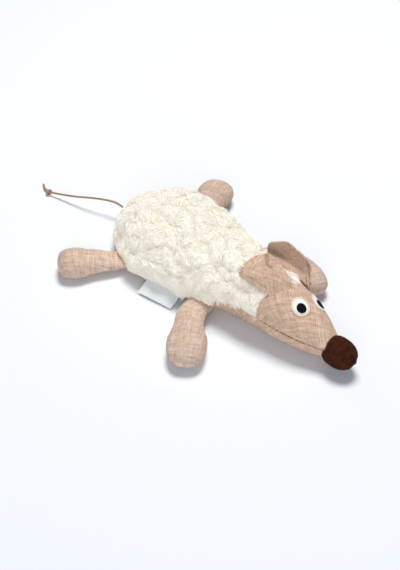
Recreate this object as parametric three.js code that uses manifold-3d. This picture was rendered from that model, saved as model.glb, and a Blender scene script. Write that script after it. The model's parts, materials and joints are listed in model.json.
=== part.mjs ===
// A plush mouse for a cat, lying flat on its belly, in millimetres, +X to the nose, +Z up.
// The skin is cut from a fur back, a canvas head panel and a canvas belly panel, sewn round a stuffed core.
// Four stuffed legs and two folded ears hinge where they are sewn on, and a cord tail lies behind.
import * as THREE from "three";
import { mergeVertices } from "three/addons/utils/BufferGeometryUtils.js";
import Module from "manifold-3d";

const wasm = await Module();
wasm.setup();

// Body and head, lengths from the rump towards the nose
const BODY_LENGTH = 178;
const HEAD_LENGTH = 36.5;
const BODY_WIDTH = 78;
const WIDEST_AT = 60;
const NECK_WIDTH = 43;
const SNOUT_WIDTH = 19;
const RUMP_HEIGHT = 14;
const BACK_HEIGHT = 44;
const NECK_HEIGHT = 41;
const BROW_HEIGHT = 44.5;
const SNOUT_HEIGHT = 22;
const SIDE_SEAM_HEIGHT = 6.5;
const HEAD_SEAM_HEIGHT = 20;
const CHIN_LIFT = 1.5;
const SNOUT_LIFT = 5;
const SNOUT_SEAM_HEIGHT = 16;
const FLOOR_CUT = 0.5;
const NECK_SEAM_SLANT = 10.5;

// Cloth, fur and clearances
const CANVAS = 1.5;
const FUR = 5;
const NAP_THINNING = 0.7;
const NAP_FADE = 35;
const NAP_RISE = 0.8;
const RUMP_NAP = 0.4;
const PLUSH = 2.5;
const GAP = 0.3;

// Nose, a stuffed plush ball with its back cut off
const NOSE_DIAMETER = 22.6;
const NOSE_LIFT = 0.9;
const NOSE_SINK = 4.5;

// Eyes, each a thread border, a white disc and a pupil in one thin layer
const EYE_DIAMETER = 14;
const EYE_BORDER = 1.5;
const PUPIL_DIAMETER = 6.6;
const PUPIL_FORWARD = 1.3;
const PUPIL_DOWN = 0.4;
const EYE_LAYER = 0.8;
const EYE_AT = 14;
const EYE_TURN = 66;

// Legs, lengths from the sewn root to the toe
const FRONT_LEG_LENGTH = 66;
const REAR_LEG_LENGTH = 45.5;
const FRONT_LEG_AT = 116;
const LEFT_FRONT_LEG_AT = 106;
const REAR_LEG_AT = 42;
const LEG_NECK_WIDTH = 19.5;
const FOOT_WIDTH = 28;
const FOOT_HEIGHT = 18;
const ROOT_THICKNESS = 8;
const ROOT_CLEARANCE = 0.5;
const RIGHT_FRONT_SPREAD = 44;
const LEFT_FRONT_SPREAD = -14;
const RIGHT_REAR_SPREAD = 122;
const LEFT_REAR_SPREAD = 120;
const LEG_BEND = 0.35;
const LEFT_FRONT_BEND = 0.5;

// Ears, two cloth layers each
const EAR_CLOTH = 1.2;
const EAR_THICKNESS = 2 * EAR_CLOTH + GAP;
const EAR_SEAT = 1.35;
const EAR_FRONT_GAP = 1.5;

// Side tag, a folded satin loop
const TAG_WIDTH = 30;
const TAG_REACH = 12.5;
const TAG_CLOTH = 0.5;
const TAG_AT = 86;
const TAG_DROOP = 24;
const TAG_CLEARANCE = 0.8;

// Tail, a thin waxed cord with a knot near its end
const CORD_DIAMETER = 1.6;
const KNOT_DIAMETER = 5;
const TAIL_HEIGHT = 12;
const INNER_KNOT_DIAMETER = 6;
const INNER_KNOT_DEPTH = 7;
const TAIL_ROUTE = [
  [-11, -1.2, 13],
  [-22, -5.5, 12.4],
  [-33, -10, 10.4],
  [-44, -14, 7.6],
  [-55, -17.2, 5],
  [-63, -19.6, 3.4],
];
const KNOT_AT = [-70, -22, 2.5];
const TAIL_TIP_ROUTE = [
  [-77, -20.6, 1.3],
  [-83.5, -17.6, 1],
];

// Catnip pouch in a pocket of the stuffing
const POUCH_LENGTH = 44;
const POUCH_WIDTH = 30;
const POUCH_HEIGHT = 12;
const POUCH_AT = 72;

// Facets
const AROUND = 28;
const STATIONS = 18;
const LEG_AROUND = 14;

// Materials
const cloth = (color, roughness) =>
  new THREE.MeshStandardMaterial({ color, roughness, metalness: 0 });
const canvas = cloth("#d2b296", 0.95);
const fur = cloth("#f0ebdc", 1);
const plush = cloth("#4b2816", 0.95);
const wadding = cloth("#f4f4f2", 1);
const satin = cloth("#c8cdc8", 0.6);
const cordTan = cloth("#a5825f", 0.7);
const whiteThread = cloth("#f8f8f5", 0.8);
const creamThread = cloth("#f0e1c3", 0.8);
const blackThread = cloth("#0f1216", 0.7);
const herbCotton = cloth("#b9c19b", 0.95);

const radians = THREE.MathUtils.degToRad;
const snoutEnd = BODY_LENGTH + HEAD_LENGTH;
const half = (value) => value / 2;

// A smooth line through (place, value) pairs that never swings past them.
function smoothLine(points) {
  const last = points.length - 1;
  const rise = points.slice(1).map(([x, y], i) => (y - points[i][1]) / (x - points[i][0]));
  const slope = points.map((_, i) => {
    if (i === 0) return rise[0];
    if (i === last) return rise[last - 1];
    if (rise[i - 1] * rise[i] <= 0) return 0;
    return (2 * rise[i - 1] * rise[i]) / (rise[i - 1] + rise[i]);
  });
  return (at) => {
    const x = THREE.MathUtils.clamp(at, points[0][0], points[last][0]);
    let i = 0;
    while (i < last - 1 && x > points[i + 1][0]) i += 1;
    const [x0, y0] = points[i];
    const [x1, y1] = points[i + 1];
    const span = x1 - x0;
    const t = (x - x0) / span;
    const bend = t * t * (3 - 2 * t);
    const ends = slope[i] * t * (1 - t) * (1 - t) - slope[i + 1] * t * t * (1 - t);
    return y0 + (y1 - y0) * bend + span * ends;
  };
}

// Half width of the skin: an egg-shaped rump, then a taper through the neck to the snout.
const lerp = THREE.MathUtils.lerp;
const taper = smoothLine([
  [WIDEST_AT, half(BODY_WIDTH)],
  [lerp(WIDEST_AT, BODY_LENGTH, 0.33), half(lerp(NECK_WIDTH, BODY_WIDTH, 0.6))],
  [lerp(WIDEST_AT, BODY_LENGTH, 0.62), half(lerp(NECK_WIDTH, BODY_WIDTH, 0.17))],
  [BODY_LENGTH, half(NECK_WIDTH)],
  [BODY_LENGTH + 0.5 * HEAD_LENGTH, half(lerp(NECK_WIDTH, SNOUT_WIDTH, 0.35))],
  [snoutEnd, half(SNOUT_WIDTH)],
]);
const RUMP_ROUNDNESS = 1.55;
const RUMP_TIP = 0.06;
function halfWidth(s) {
  if (s >= WIDEST_AT) return taper(s);
  const back = 1 - Math.max(s, 0) / WIDEST_AT;
  const egg = Math.pow(1 - Math.pow(back, RUMP_ROUNDNESS), 1 / RUMP_ROUNDNESS);
  return half(BODY_WIDTH) * Math.max(egg, RUMP_TIP);
}

// Heights along the skin: top of the back, side seam and underside
const topHeight = smoothLine([
  [0, RUMP_HEIGHT],
  [0.12 * BODY_LENGTH, lerp(RUMP_HEIGHT, BACK_HEIGHT, 0.62)],
  [0.34 * BODY_LENGTH, BACK_HEIGHT],
  [0.8 * BODY_LENGTH, NECK_HEIGHT],
  [BODY_LENGTH, BROW_HEIGHT],
  [BODY_LENGTH + 0.5 * HEAD_LENGTH, lerp(SNOUT_HEIGHT, BROW_HEIGHT, 0.6)],
  [snoutEnd, SNOUT_HEIGHT],
]);
const seamHeight = smoothLine([
  [0, TAIL_HEIGHT],
  [0.25 * BODY_LENGTH, SIDE_SEAM_HEIGHT],
  [0.6 * BODY_LENGTH, SIDE_SEAM_HEIGHT],
  [BODY_LENGTH - NECK_SEAM_SLANT, HEAD_SEAM_HEIGHT],
  [snoutEnd, SNOUT_SEAM_HEIGHT],
]);
const underside = smoothLine([
  [0, half(TAIL_HEIGHT)],
  [0.14 * BODY_LENGTH, -FLOOR_CUT],
  [0.8 * BODY_LENGTH, -FLOOR_CUT],
  [BODY_LENGTH + 0.3 * HEAD_LENGTH, CHIN_LIFT],
  [snoutEnd, SNOUT_LIFT],
]);

// A closed body through rings of points, with a fan over each end, facing outwards.
function loft(rings) {
  const points = rings.flat();
  const count = rings[0].length;
  const faces = [];
  for (let r = 0; r < rings.length - 1; r += 1) {
    for (let i = 0; i < count; i += 1) {
      const a = r * count + i;
      const b = r * count + ((i + 1) % count);
      faces.push(a, b, b + count, a, b + count, a + count);
    }
  }
  for (const end of [0, rings.length - 1]) {
    const centre = new THREE.Vector3();
    rings[end].forEach((p) => centre.addScaledVector(p, 1 / count));
    points.push(centre);
    for (let i = 0; i < count; i += 1) {
      const a = end * count + i;
      const b = end * count + ((i + 1) % count);
      faces.push(points.length - 1, ...(end === 0 ? [b, a] : [a, b]));
    }
  }
  const geometry = new THREE.BufferGeometry().setFromPoints(points);
  geometry.setIndex(faces);
  return outward(geometry);
}

// Turns a closed geometry's faces outwards.
function outward(geometry) {
  const p = geometry.getAttribute("position");
  const index = geometry.getIndex().array;
  const [a, b, c] = [new THREE.Vector3(), new THREE.Vector3(), new THREE.Vector3()];
  let volume = 0;
  for (let i = 0; i < index.length; i += 3) {
    a.fromBufferAttribute(p, index[i]);
    b.fromBufferAttribute(p, index[i + 1]);
    c.fromBufferAttribute(p, index[i + 2]);
    volume += a.dot(b.cross(c));
  }
  if (volume < 0) {
    for (let i = 0; i < index.length; i += 3) {
      [index[i + 1], index[i + 2]] = [index[i + 2], index[i + 1]];
    }
  }
  return geometry;
}

// A geometry as a solid for joins and cuts, and back again.
function solid(geometry) {
  const bare = geometry.clone();
  for (const name of Object.keys(bare.attributes)) {
    if (name !== "position") bare.deleteAttribute(name);
  }
  const merged = mergeVertices(bare, 1e-4);
  return new wasm.Manifold(
    new wasm.Mesh({
      numProp: 3,
      vertProperties: new Float32Array(merged.getAttribute("position").array),
      triVerts: new Uint32Array(merged.getIndex().array),
    }),
  );
}
function geometryOf(made) {
  const mesh = made.getMesh();
  const geometry = new THREE.BufferGeometry();
  geometry.setAttribute("position", new THREE.BufferAttribute(mesh.vertProperties, 3));
  geometry.setIndex(new THREE.BufferAttribute(mesh.triVerts, 1));
  geometry.computeVertexNormals();
  return geometry;
}

// A point of the torso at place s and turn round its section, grown by a cloth or fur thickness.
function torsoPoint(s, x, turn, grow, pile) {
  const lift = Math.sin(turn);
  const middle = seamHeight(s);
  const width = Math.max(halfWidth(s) + grow, 0.6);
  const up = Math.max(topHeight(s) + grow - middle, 0.5);
  const down = Math.max(middle - underside(s) + grow, 0.4);
  const nap = lift > 0 ? pile * napLength(s) * lift ** NAP_RISE : 0;
  const z = middle + lift * (lift > 0 ? up + nap : down);
  return new THREE.Vector3(x, Math.cos(turn) * (width + nap), z);
}
// The pile thins out towards the neck seam, where the fur is sewn to the head.
function napLength(s) {
  return 1 - NAP_THINNING * THREE.MathUtils.smoothstep(s, BODY_LENGTH - NAP_FADE, BODY_LENGTH);
}
function torsoRing(s, x, grow, pile) {
  const turns = Array.from({ length: AROUND }, (_, i) => (2 * Math.PI * i) / AROUND);
  return turns.map((turn) => torsoPoint(s, x, turn, grow, pile));
}
const PAST_SNOUT = 8;
const RUMP_END = 6;
function torso(grow, pile = 0) {
  const rings = [];
  const start = -grow - pile * RUMP_NAP;
  for (let i = 0; i <= STATIONS; i += 1) {
    const share = (1 - Math.cos((Math.PI * i) / STATIONS / 1.25)) / (1 - Math.cos(Math.PI / 1.25));
    const s = share * snoutEnd;
    rings.push(torsoRing(s, s + start * (1 - share) ** RUMP_END, grow, pile));
  }
  rings.push(torsoRing(snoutEnd, snoutEnd + PAST_SNOUT, grow, pile));
  return solid(loft(rings));
}

// A slab seen from the side: its outline lies in the XZ plane and it runs across the whole toy.
const ACROSS = 120;
function sideSlab(outline) {
  const shape = new THREE.Shape(outline.map(([x, z]) => new THREE.Vector2(x, z)));
  const geometry = new THREE.ExtrudeGeometry(shape, { depth: 2 * ACROSS, bevelEnabled: false });
  geometry.rotateX(Math.PI / 2);
  geometry.translate(0, ACROSS, 0);
  return solid(geometry);
}
const FAR = 80;
const SEAM_STEPS = 16;
function belowSeam(shift) {
  const line = [];
  for (let i = 0; i <= SEAM_STEPS; i += 1) {
    const s = (snoutEnd * i) / SEAM_STEPS;
    line.push([s, seamHeight(s) + shift]);
  }
  line.push([snoutEnd + FAR, seamHeight(snoutEnd) + shift], [snoutEnd + FAR, -FAR]);
  line.push([-FAR, -FAR], [-FAR, seamHeight(0) + shift]);
  return sideSlab(line);
}
// The neck seam leans back from the brow down to the side seam.
const neckSeamAt = (z) =>
  BODY_LENGTH + (NECK_SEAM_SLANT * (z - BROW_HEIGHT)) / (BROW_HEIGHT - HEAD_SEAM_HEIGHT);
function behindNeckSeam(shift) {
  return sideSlab([
    [-FAR, -FAR],
    [neckSeamAt(-FAR) + shift, -FAR],
    [neckSeamAt(FAR) + shift, FAR],
    [-FAR, FAR],
  ]);
}
const floorBlock = sideSlab([
  [-FAR, 0],
  [-FAR, -FAR],
  [snoutEnd + FAR, -FAR],
  [snoutEnd + FAR, 0],
]);
const pastSnout = (shift) =>
  sideSlab([
    [snoutEnd + shift, -FAR],
    [snoutEnd + FAR, -FAR],
    [snoutEnd + FAR, FAR],
    [snoutEnd + shift, FAR],
  ]);

// Torso pieces
const skin = torso(0);
const lining = torso(-CANVAS);
const TAIL_HOLE_LENGTH = 40;
const tailHoleRadius = half(CORD_DIAMETER) + GAP;
const tailHole = solid(
  new THREE.CylinderGeometry(tailHoleRadius, tailHoleRadius, TAIL_HOLE_LENGTH, 12)
    .rotateZ(Math.PI / 2)
    .translate(0, 0, TAIL_HEIGHT),
);
const shell = skin.subtract(lining).subtract(pastSnout(0));
const bellyPanel = shell.intersect(belowSeam(-half(GAP))).subtract(floorBlock).subtract(tailHole);
const headPanel = shell.subtract(belowSeam(half(GAP))).subtract(behindNeckSeam(half(GAP)));

// Stuffing of the torso, with a pocket for the pouch and one for the knot that holds the tail
function pouchShape(grow) {
  const geometry = new THREE.SphereGeometry(1, 16, 10);
  geometry.scale(half(POUCH_LENGTH) + grow, half(POUCH_WIDTH) + grow, half(POUCH_HEIGHT) + grow);
  return geometry;
}
const pouchHeight = CANVAS + 2 * GAP + half(POUCH_HEIGHT);
const pouch = pouchShape(0).translate(POUCH_AT, 0, pouchHeight);
const pocketNeck = new THREE.CylinderGeometry(
  half(POUCH_WIDTH) + GAP,
  half(POUCH_WIDTH) + GAP,
  2 * pouchHeight,
  16,
);
pocketNeck.rotateX(Math.PI / 2);
pocketNeck.scale(POUCH_LENGTH / POUCH_WIDTH, 1, 1);
pocketNeck.translate(POUCH_AT, 0, 0);
const pocket = solid(pouchShape(GAP).translate(POUCH_AT, 0, pouchHeight)).add(solid(pocketNeck));
const knotPocket = solid(
  new THREE.CylinderGeometry(
    half(INNER_KNOT_DIAMETER) + GAP,
    half(INNER_KNOT_DIAMETER) + GAP,
    2 * (INNER_KNOT_DEPTH + half(INNER_KNOT_DIAMETER) + GAP),
    12,
  )
    .rotateZ(Math.PI / 2)
    .translate(0, 0, TAIL_HEIGHT),
);
const bodyWadding = torso(-CANVAS - GAP)
  .subtract(pastSnout(0))
  .subtract(pocket)
  .subtract(knotPocket)
  .subtract(floorBlock);

// Nose
const noseRadius = half(NOSE_DIAMETER);
const noseAt = new THREE.Vector3(snoutEnd + GAP + noseRadius - NOSE_SINK, 0, noseRadius + NOSE_LIFT);
function noseBall(shrink) {
  const ball = new THREE.SphereGeometry(noseRadius - shrink, 22, 14);
  ball.translate(noseAt.x, noseAt.y, noseAt.z);
  return solid(ball).intersect(pastSnout(GAP));
}
const noseCap = noseBall(0).subtract(noseBall(PLUSH).add(noseBackHole(PLUSH)));
const noseWadding = noseBall(PLUSH + GAP);

// The round opening in the back of the nose, as wide as the inside of the plush there.
function noseBackHole(shrink) {
  const reach = noseRadius - NOSE_SINK;
  const radius = Math.sqrt((noseRadius - shrink) ** 2 - reach ** 2);
  const hole = new THREE.CylinderGeometry(radius, radius, 2, 22).rotateZ(Math.PI / 2);
  hole.translate(snoutEnd + GAP, 0, noseAt.z);
  return solid(hole);
}

// Eyes: a thin layer over the head, cut into a border, a white disc and a pupil
const eyeLayer = torso(GAP + EYE_LAYER).subtract(torso(GAP));
const EYE_DEPTH = 12;
function eyePieces(side) {
  const s = BODY_LENGTH + EYE_AT;
  const turn = side > 0 ? radians(EYE_TURN) : Math.PI - radians(EYE_TURN);
  const at = torsoPoint(s, s, turn, 0, 0);
  const ahead = torsoPoint(s + 1, s + 1, turn, 0, 0).sub(at).normalize();
  const down = torsoPoint(s, s, turn - side * 0.05, 0, 0).sub(at).normalize();
  const out = new THREE.Vector3().crossVectors(ahead, down).multiplyScalar(-side).normalize();
  const face = new THREE.Quaternion().setFromUnitVectors(new THREE.Vector3(0, 1, 0), out);
  const disc = (diameter, centre) => {
    const plug = new THREE.CylinderGeometry(half(diameter), half(diameter), EYE_DEPTH, 28);
    plug.applyQuaternion(face).translate(centre.x, centre.y, centre.z);
    return solid(plug);
  };
  const pupilAt = at.clone();
  pupilAt.addScaledVector(ahead, PUPIL_FORWARD).addScaledVector(down, PUPIL_DOWN);
  const inner = EYE_DIAMETER - 2 * EYE_BORDER;
  return {
    border: eyeLayer.intersect(disc(EYE_DIAMETER, at)).subtract(disc(inner, at)),
    white: eyeLayer
      .intersect(disc(inner - 2 * GAP, at))
      .subtract(disc(PUPIL_DIAMETER + 2 * GAP, pupilAt)),
    pupil: eyeLayer.intersect(disc(PUPIL_DIAMETER, pupilAt)),
  };
}

// A leg in its own frame: the hinge line is the Y axis, +X points straight out of the body,
// and the middle line bends by the skew angle from there to the toe.
const rootRadius = half(ROOT_THICKNESS);
const LINE_STEPS = 60;
const LEG_NECK_FLARE = 0.6;
const SHIN_FULLNESS = 0.8;
// Where the rings of a leg stand: degrees round the root, shares of the length, degrees round the toe
const TOE_START = 0.7;
const ROOT_TURNS = [12, 40, 68];
const SLEEVE_STATIONS = [0, 0.14, 0.28, 0.42, 0.56, TOE_START];
const TOE_TURNS = [28, 50, 69, 84];
function legLine({ length, skew, bend }) {
  const points = [new THREE.Vector3()];
  const headings = [0];
  for (let i = 1; i <= LINE_STEPS; i += 1) {
    const along = i / LINE_STEPS;
    const heading = skew * THREE.MathUtils.smoothstep(along, 0, bend);
    const step = new THREE.Vector3(Math.cos(heading), Math.sin(heading), 0);
    points.push(points[i - 1].clone().addScaledVector(step, length / LINE_STEPS));
    headings.push(heading);
  }
  return (x) => {
    const i = THREE.MathUtils.clamp(Math.round((x / length) * LINE_STEPS), 0, LINE_STEPS);
    const at = points[i].clone();
    if (x < 0) at.x = x;
    return { at, heading: headings[i] };
  };
}
function legForm(leg, shrink, rootEnd) {
  const { length, rootHeight } = leg;
  const width = smoothLine([
    [0, half(LEG_NECK_WIDTH)],
    [LEG_BEND * length, half(LEG_NECK_WIDTH) + LEG_NECK_FLARE],
    [TOE_START * length, half(FOOT_WIDTH)],
    [length, half(FOOT_WIDTH)],
  ]);
  const thick = smoothLine([
    [0, rootRadius],
    [LEG_BEND * length, SHIN_FULLNESS * half(FOOT_HEIGHT)],
    [TOE_START * length, half(FOOT_HEIGHT)],
    [length, half(FOOT_HEIGHT)],
  ]);
  const line = legLine(leg);
  const rings = [];
  const ring = (along, w, t) => {
    const { at, heading } = line(along);
    const lie = half(FOOT_HEIGHT) - FLOOR_CUT - rootHeight;
    const z = along > 0 ? lie * THREE.MathUtils.smoothstep(along, 0, LEG_BEND * length) : 0;
    const points = [];
    for (let i = 0; i < LEG_AROUND; i += 1) {
      const turn = (2 * Math.PI * i) / LEG_AROUND;
      const across = Math.cos(turn) * w;
      const x = at.x - Math.sin(heading) * across;
      const y = at.y + Math.cos(heading) * across;
      points.push(new THREE.Vector3(x, y, z + Math.sin(turn) * t));
    }
    rings.push(points);
  };
  if (shrink === 0) {
    for (const turn of ROOT_TURNS) {
      ring(-Math.cos(radians(turn)) * rootRadius, width(0), Math.sin(radians(turn)) * rootRadius);
    }
  } else {
    ring(rootEnd, width(0) - shrink, rootRadius - shrink);
  }
  for (const share of SLEEVE_STATIONS) {
    const x = share * length;
    ring(x, width(x) - shrink, thick(x) - shrink);
  }
  for (const turn of TOE_TURNS) {
    const x = TOE_START * length + ((1 - TOE_START) * length - shrink) * Math.sin(radians(turn));
    const narrow = Math.cos(radians(turn));
    ring(x, (width(x) - shrink) * narrow ** 0.9, (thick(x) - shrink) * narrow ** 0.8);
  }
  return solid(loft(rings));
}

// A leg group stands at its hinge, turned so that its +X leaves the body square to the side seam.
const legs = [
  ["right_front_leg", FRONT_LEG_AT, FRONT_LEG_LENGTH, RIGHT_FRONT_SPREAD, LEG_BEND, -1],
  ["left_front_leg", LEFT_FRONT_LEG_AT, FRONT_LEG_LENGTH, LEFT_FRONT_SPREAD, LEFT_FRONT_BEND, 1],
  ["right_rear_leg", REAR_LEG_AT, REAR_LEG_LENGTH, RIGHT_REAR_SPREAD, LEG_BEND, -1],
  ["left_rear_leg", REAR_LEG_AT, REAR_LEG_LENGTH, LEFT_REAR_SPREAD, LEG_BEND, 1],
];
function sideSeam(s, side) {
  const rise = half(halfWidth(s + 1) - halfWidth(s - 1));
  const outwards = new THREE.Vector3(-rise, side, 0).normalize();
  return { at: new THREE.Vector3(s, side * halfWidth(s), seamHeight(s)), outwards };
}
function legGroup([name, s, length, spread, bend, side]) {
  const { at, outwards } = sideSeam(s, side);
  const straightOut = Math.atan2(outwards.y, outwards.x);
  const skew = side * radians(spread) - straightOut;
  const group = new THREE.Group();
  group.name = name;
  group.position.copy(at).addScaledVector(outwards, rootRadius + ROOT_CLEARANCE);
  group.rotation.z = straightOut;
  const underFloor = new THREE.BoxGeometry(6 * length, 6 * length, FAR);
  underFloor.translate(0, 0, -half(FAR) - at.z);
  const leg = { length, skew, bend, rootHeight: at.z };
  const form = (shrink, rootEnd) => legForm(leg, shrink, rootEnd).subtract(solid(underFloor));
  const inside = CANVAS + GAP;
  const stuffingEnd = -Math.sqrt(rootRadius ** 2 - (rootRadius - inside) ** 2);
  const sleeve = form(0).subtract(form(CANVAS, -2 * rootRadius));
  group.add(piece(name + "_sleeve", sleeve, canvas));
  group.add(piece(name + "_wadding", form(inside, stuffingEnd), wadding));
  return group;
}

// An ear stands on the head just in front of the neck seam. Its shape is given by rows from the sewn
// base to the fold and the free lip, each from the front edge to the rear edge, as reaches from the base.
const EAR_BASE_TURNS = { right: [80, 67, 55], left: [75, 59, 43] };
const EAR_REACHES = {
  right: [
    [[-10.8, -0.1, 5.7], [-16.5, -2.1, 6], [-23.6, -3.8, 3.2]],
    [[-24.8, 0.9, 8.7], [-31, -0.6, 7], [-36.6, -3.3, 2.2]],
    [[-30.8, 5.4, 9.2], [-36, 4.4, 8], [-37.1, -0.8, 3.7]],
  ],
  left: [
    [[-4.6, 7.2, 5.6], [-11.5, 8, 9.2], [-19.6, 1.9, 12.6]],
    [[-9.6, 10.2, 9.6], [-18.5, 4.5, 16.7], [-29.6, -5.6, 20.6]],
    [[-13, 4.4, 6.8], [-19.5, -3, 11.2], [-30.6, -10.6, 17.1]],
  ],
};
function earRows(name, side) {
  const base = EAR_BASE_TURNS[name].map((degrees) => {
    const turn = side > 0 ? radians(degrees) : Math.PI - radians(degrees);
    const seam = neckSeamAt(torsoPoint(BODY_LENGTH, 0, turn, 0, 0).z);
    const s = seam + half(GAP) + half(EAR_THICKNESS) + EAR_FRONT_GAP;
    return torsoPoint(s, s, turn, EAR_SEAT, 0);
  });
  const rows = EAR_REACHES[name].map((row) =>
    row.map((reach, j) => base[j].clone().add(new THREE.Vector3(...reach))),
  );
  return [base, ...rows];
}
const EAR_ROWS = 9;
const EAR_COLUMNS = 8;
function earGrid(rows) {
  const columns = rows[0].map((_, j) => new THREE.CatmullRomCurve3(rows.map((row) => row[j])));
  const grid = [];
  for (let v = 0; v <= EAR_ROWS; v += 1) {
    const row = new THREE.CatmullRomCurve3(columns.map((column) => column.getPoint(v / EAR_ROWS)));
    grid.push(Array.from({ length: EAR_COLUMNS + 1 }, (_, u) => row.getPoint(u / EAR_COLUMNS)));
  }
  return grid;
}
// A sheet of cloth between two offsets from a grid of points
function sheet(grid, near, far) {
  const rows = grid.length;
  const columns = grid[0].length;
  const clampRow = (v) => grid[THREE.MathUtils.clamp(v, 0, rows - 1)];
  const normal = (v, u) => {
    const along = clampRow(v + 1)[u].clone().sub(clampRow(v - 1)[u]);
    const across = grid[v][Math.min(u + 1, columns - 1)].clone().sub(grid[v][Math.max(u - 1, 0)]);
    return along.cross(across).normalize();
  };
  const points = [near, far].flatMap((offset) =>
    grid.flatMap((row, v) => row.map((p, u) => p.clone().addScaledVector(normal(v, u), offset))),
  );
  const at = (side, v, u) => side * rows * columns + v * columns + u;
  const faces = [];
  const quad = (a, b, c, d) => faces.push(a, b, c, a, c, d);
  for (let v = 0; v < rows - 1; v += 1) {
    for (let u = 0; u < columns - 1; u += 1) {
      quad(at(0, v, u), at(0, v, u + 1), at(0, v + 1, u + 1), at(0, v + 1, u));
      quad(at(1, v, u), at(1, v + 1, u), at(1, v + 1, u + 1), at(1, v, u + 1));
    }
    quad(at(0, v, 0), at(0, v + 1, 0), at(1, v + 1, 0), at(1, v, 0));
    quad(at(0, v, columns - 1), at(1, v, columns - 1), at(1, v + 1, columns - 1), at(0, v + 1, columns - 1));
  }
  for (let u = 0; u < columns - 1; u += 1) {
    quad(at(0, 0, u), at(1, 0, u), at(1, 0, u + 1), at(0, 0, u + 1));
    quad(at(0, rows - 1, u), at(0, rows - 1, u + 1), at(1, rows - 1, u + 1), at(1, rows - 1, u));
  }
  return solid(outward(new THREE.BufferGeometry().setFromPoints(points).setIndex(faces)));
}
function earGroup(name, side) {
  const grid = earGrid(earRows(name, side));
  const hinge = grid[0][0].clone().lerp(grid[0][EAR_COLUMNS], 0.5);
  const group = new THREE.Group();
  group.name = name + "_ear";
  group.position.copy(hinge);
  const hingeLine = grid[0][0].clone().sub(grid[0][EAR_COLUMNS]).multiplyScalar(-side).normalize();
  group.quaternion.setFromUnitVectors(new THREE.Vector3(0, 1, 0), hingeLine);
  group.updateMatrix();
  const toGroup = group.matrix.clone().invert();
  const layer = (near, far) => sheet(grid, side * near, side * far).transform(toGroup.elements);
  group.add(piece(name + "_ear_outer", layer(half(GAP), half(GAP) + EAR_CLOTH), canvas));
  group.add(piece(name + "_ear_lining", layer(-half(GAP), -half(GAP) - EAR_CLOTH), canvas));
  return group;
}

// The fur is pressed flat under the ears where they lie back on it.
function widened(grid) {
  return grid.map((row) => {
    const first = row[0].clone().multiplyScalar(2).sub(row[1]);
    const last = row.at(-1).clone().multiplyScalar(2).sub(row.at(-2));
    return [first, ...row, last];
  });
}
function earRoom(name, side) {
  const reach = half(EAR_THICKNESS) + GAP;
  return sheet(widened(earGrid(earRows(name, side))), side * reach, -side * reach);
}
const furBack = torso(0, FUR)
  .subtract(lining)
  .subtract(belowSeam(half(GAP)))
  .intersect(behindNeckSeam(-half(GAP)))
  .subtract(tailHole)
  .subtract(earRoom("right", -1))
  .subtract(earRoom("left", 1));

// Side tag: a ribbon folded into a loop, its two ends held in the right side seam
function tagMesh() {
  const outer = half(2 * TAG_CLOTH + GAP);
  const inner = half(GAP);
  const bend = TAG_REACH - outer;
  const profile = new THREE.Shape();
  profile.moveTo(0, -outer);
  profile.lineTo(bend, -outer);
  profile.absarc(bend, 0, outer, -Math.PI / 2, Math.PI / 2, false);
  profile.lineTo(0, outer);
  profile.lineTo(0, inner);
  profile.lineTo(bend, inner);
  profile.absarc(bend, 0, inner, Math.PI / 2, -Math.PI / 2, true);
  profile.lineTo(0, -inner);
  const options = { depth: TAG_WIDTH, bevelEnabled: false, curveSegments: 5 };
  const ribbon = new THREE.ExtrudeGeometry(profile, options);
  ribbon.translate(0, 0, -half(TAG_WIDTH)).rotateX(Math.PI / 2).rotateY(radians(TAG_DROOP));
  const { at, outwards } = sideSeam(TAG_AT, -1);
  const mesh = piece("side_tag", solid(ribbon), satin);
  mesh.position.copy(at).addScaledVector(outwards, TAG_CLEARANCE);
  mesh.rotation.z = Math.atan2(outwards.y, outwards.x);
  return mesh;
}

// Tail: the cord runs from its inner knot through the rump seam and down to the floor.
const CORD_SIDES = 8;
const TAIL_STEPS = 22;
const TIP_STEPS = 4;
function cordSolid(points, steps) {
  const route = new THREE.CatmullRomCurve3(points);
  const section = new THREE.Shape();
  for (let i = 0; i < CORD_SIDES; i += 1) {
    const turn = (2 * Math.PI * i) / CORD_SIDES;
    const corner = [half(CORD_DIAMETER) * Math.cos(turn), half(CORD_DIAMETER) * Math.sin(turn)];
    if (i === 0) section.moveTo(...corner);
    else section.lineTo(...corner);
  }
  return solid(new THREE.ExtrudeGeometry(section, { steps, extrudePath: route, curveSegments: 1 }));
}
const cordEnd = (at, direction, distance) => at.clone().addScaledVector(direction, distance);
function knotSolid(centre, diameter, flats) {
  const ball = new THREE.SphereGeometry(half(diameter), 12, 8).translate(...centre.toArray());
  let knot = solid(ball);
  for (const direction of flats) {
    const beyond = new THREE.BoxGeometry(diameter, 2 * diameter, 2 * diameter);
    beyond.translate(half(diameter) + knotFace(diameter), 0, 0);
    const turn = new THREE.Quaternion().setFromUnitVectors(new THREE.Vector3(1, 0, 0), direction);
    beyond.applyQuaternion(turn).translate(...centre.toArray());
    knot = knot.subtract(solid(beyond));
  }
  return knot;
}
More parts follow.
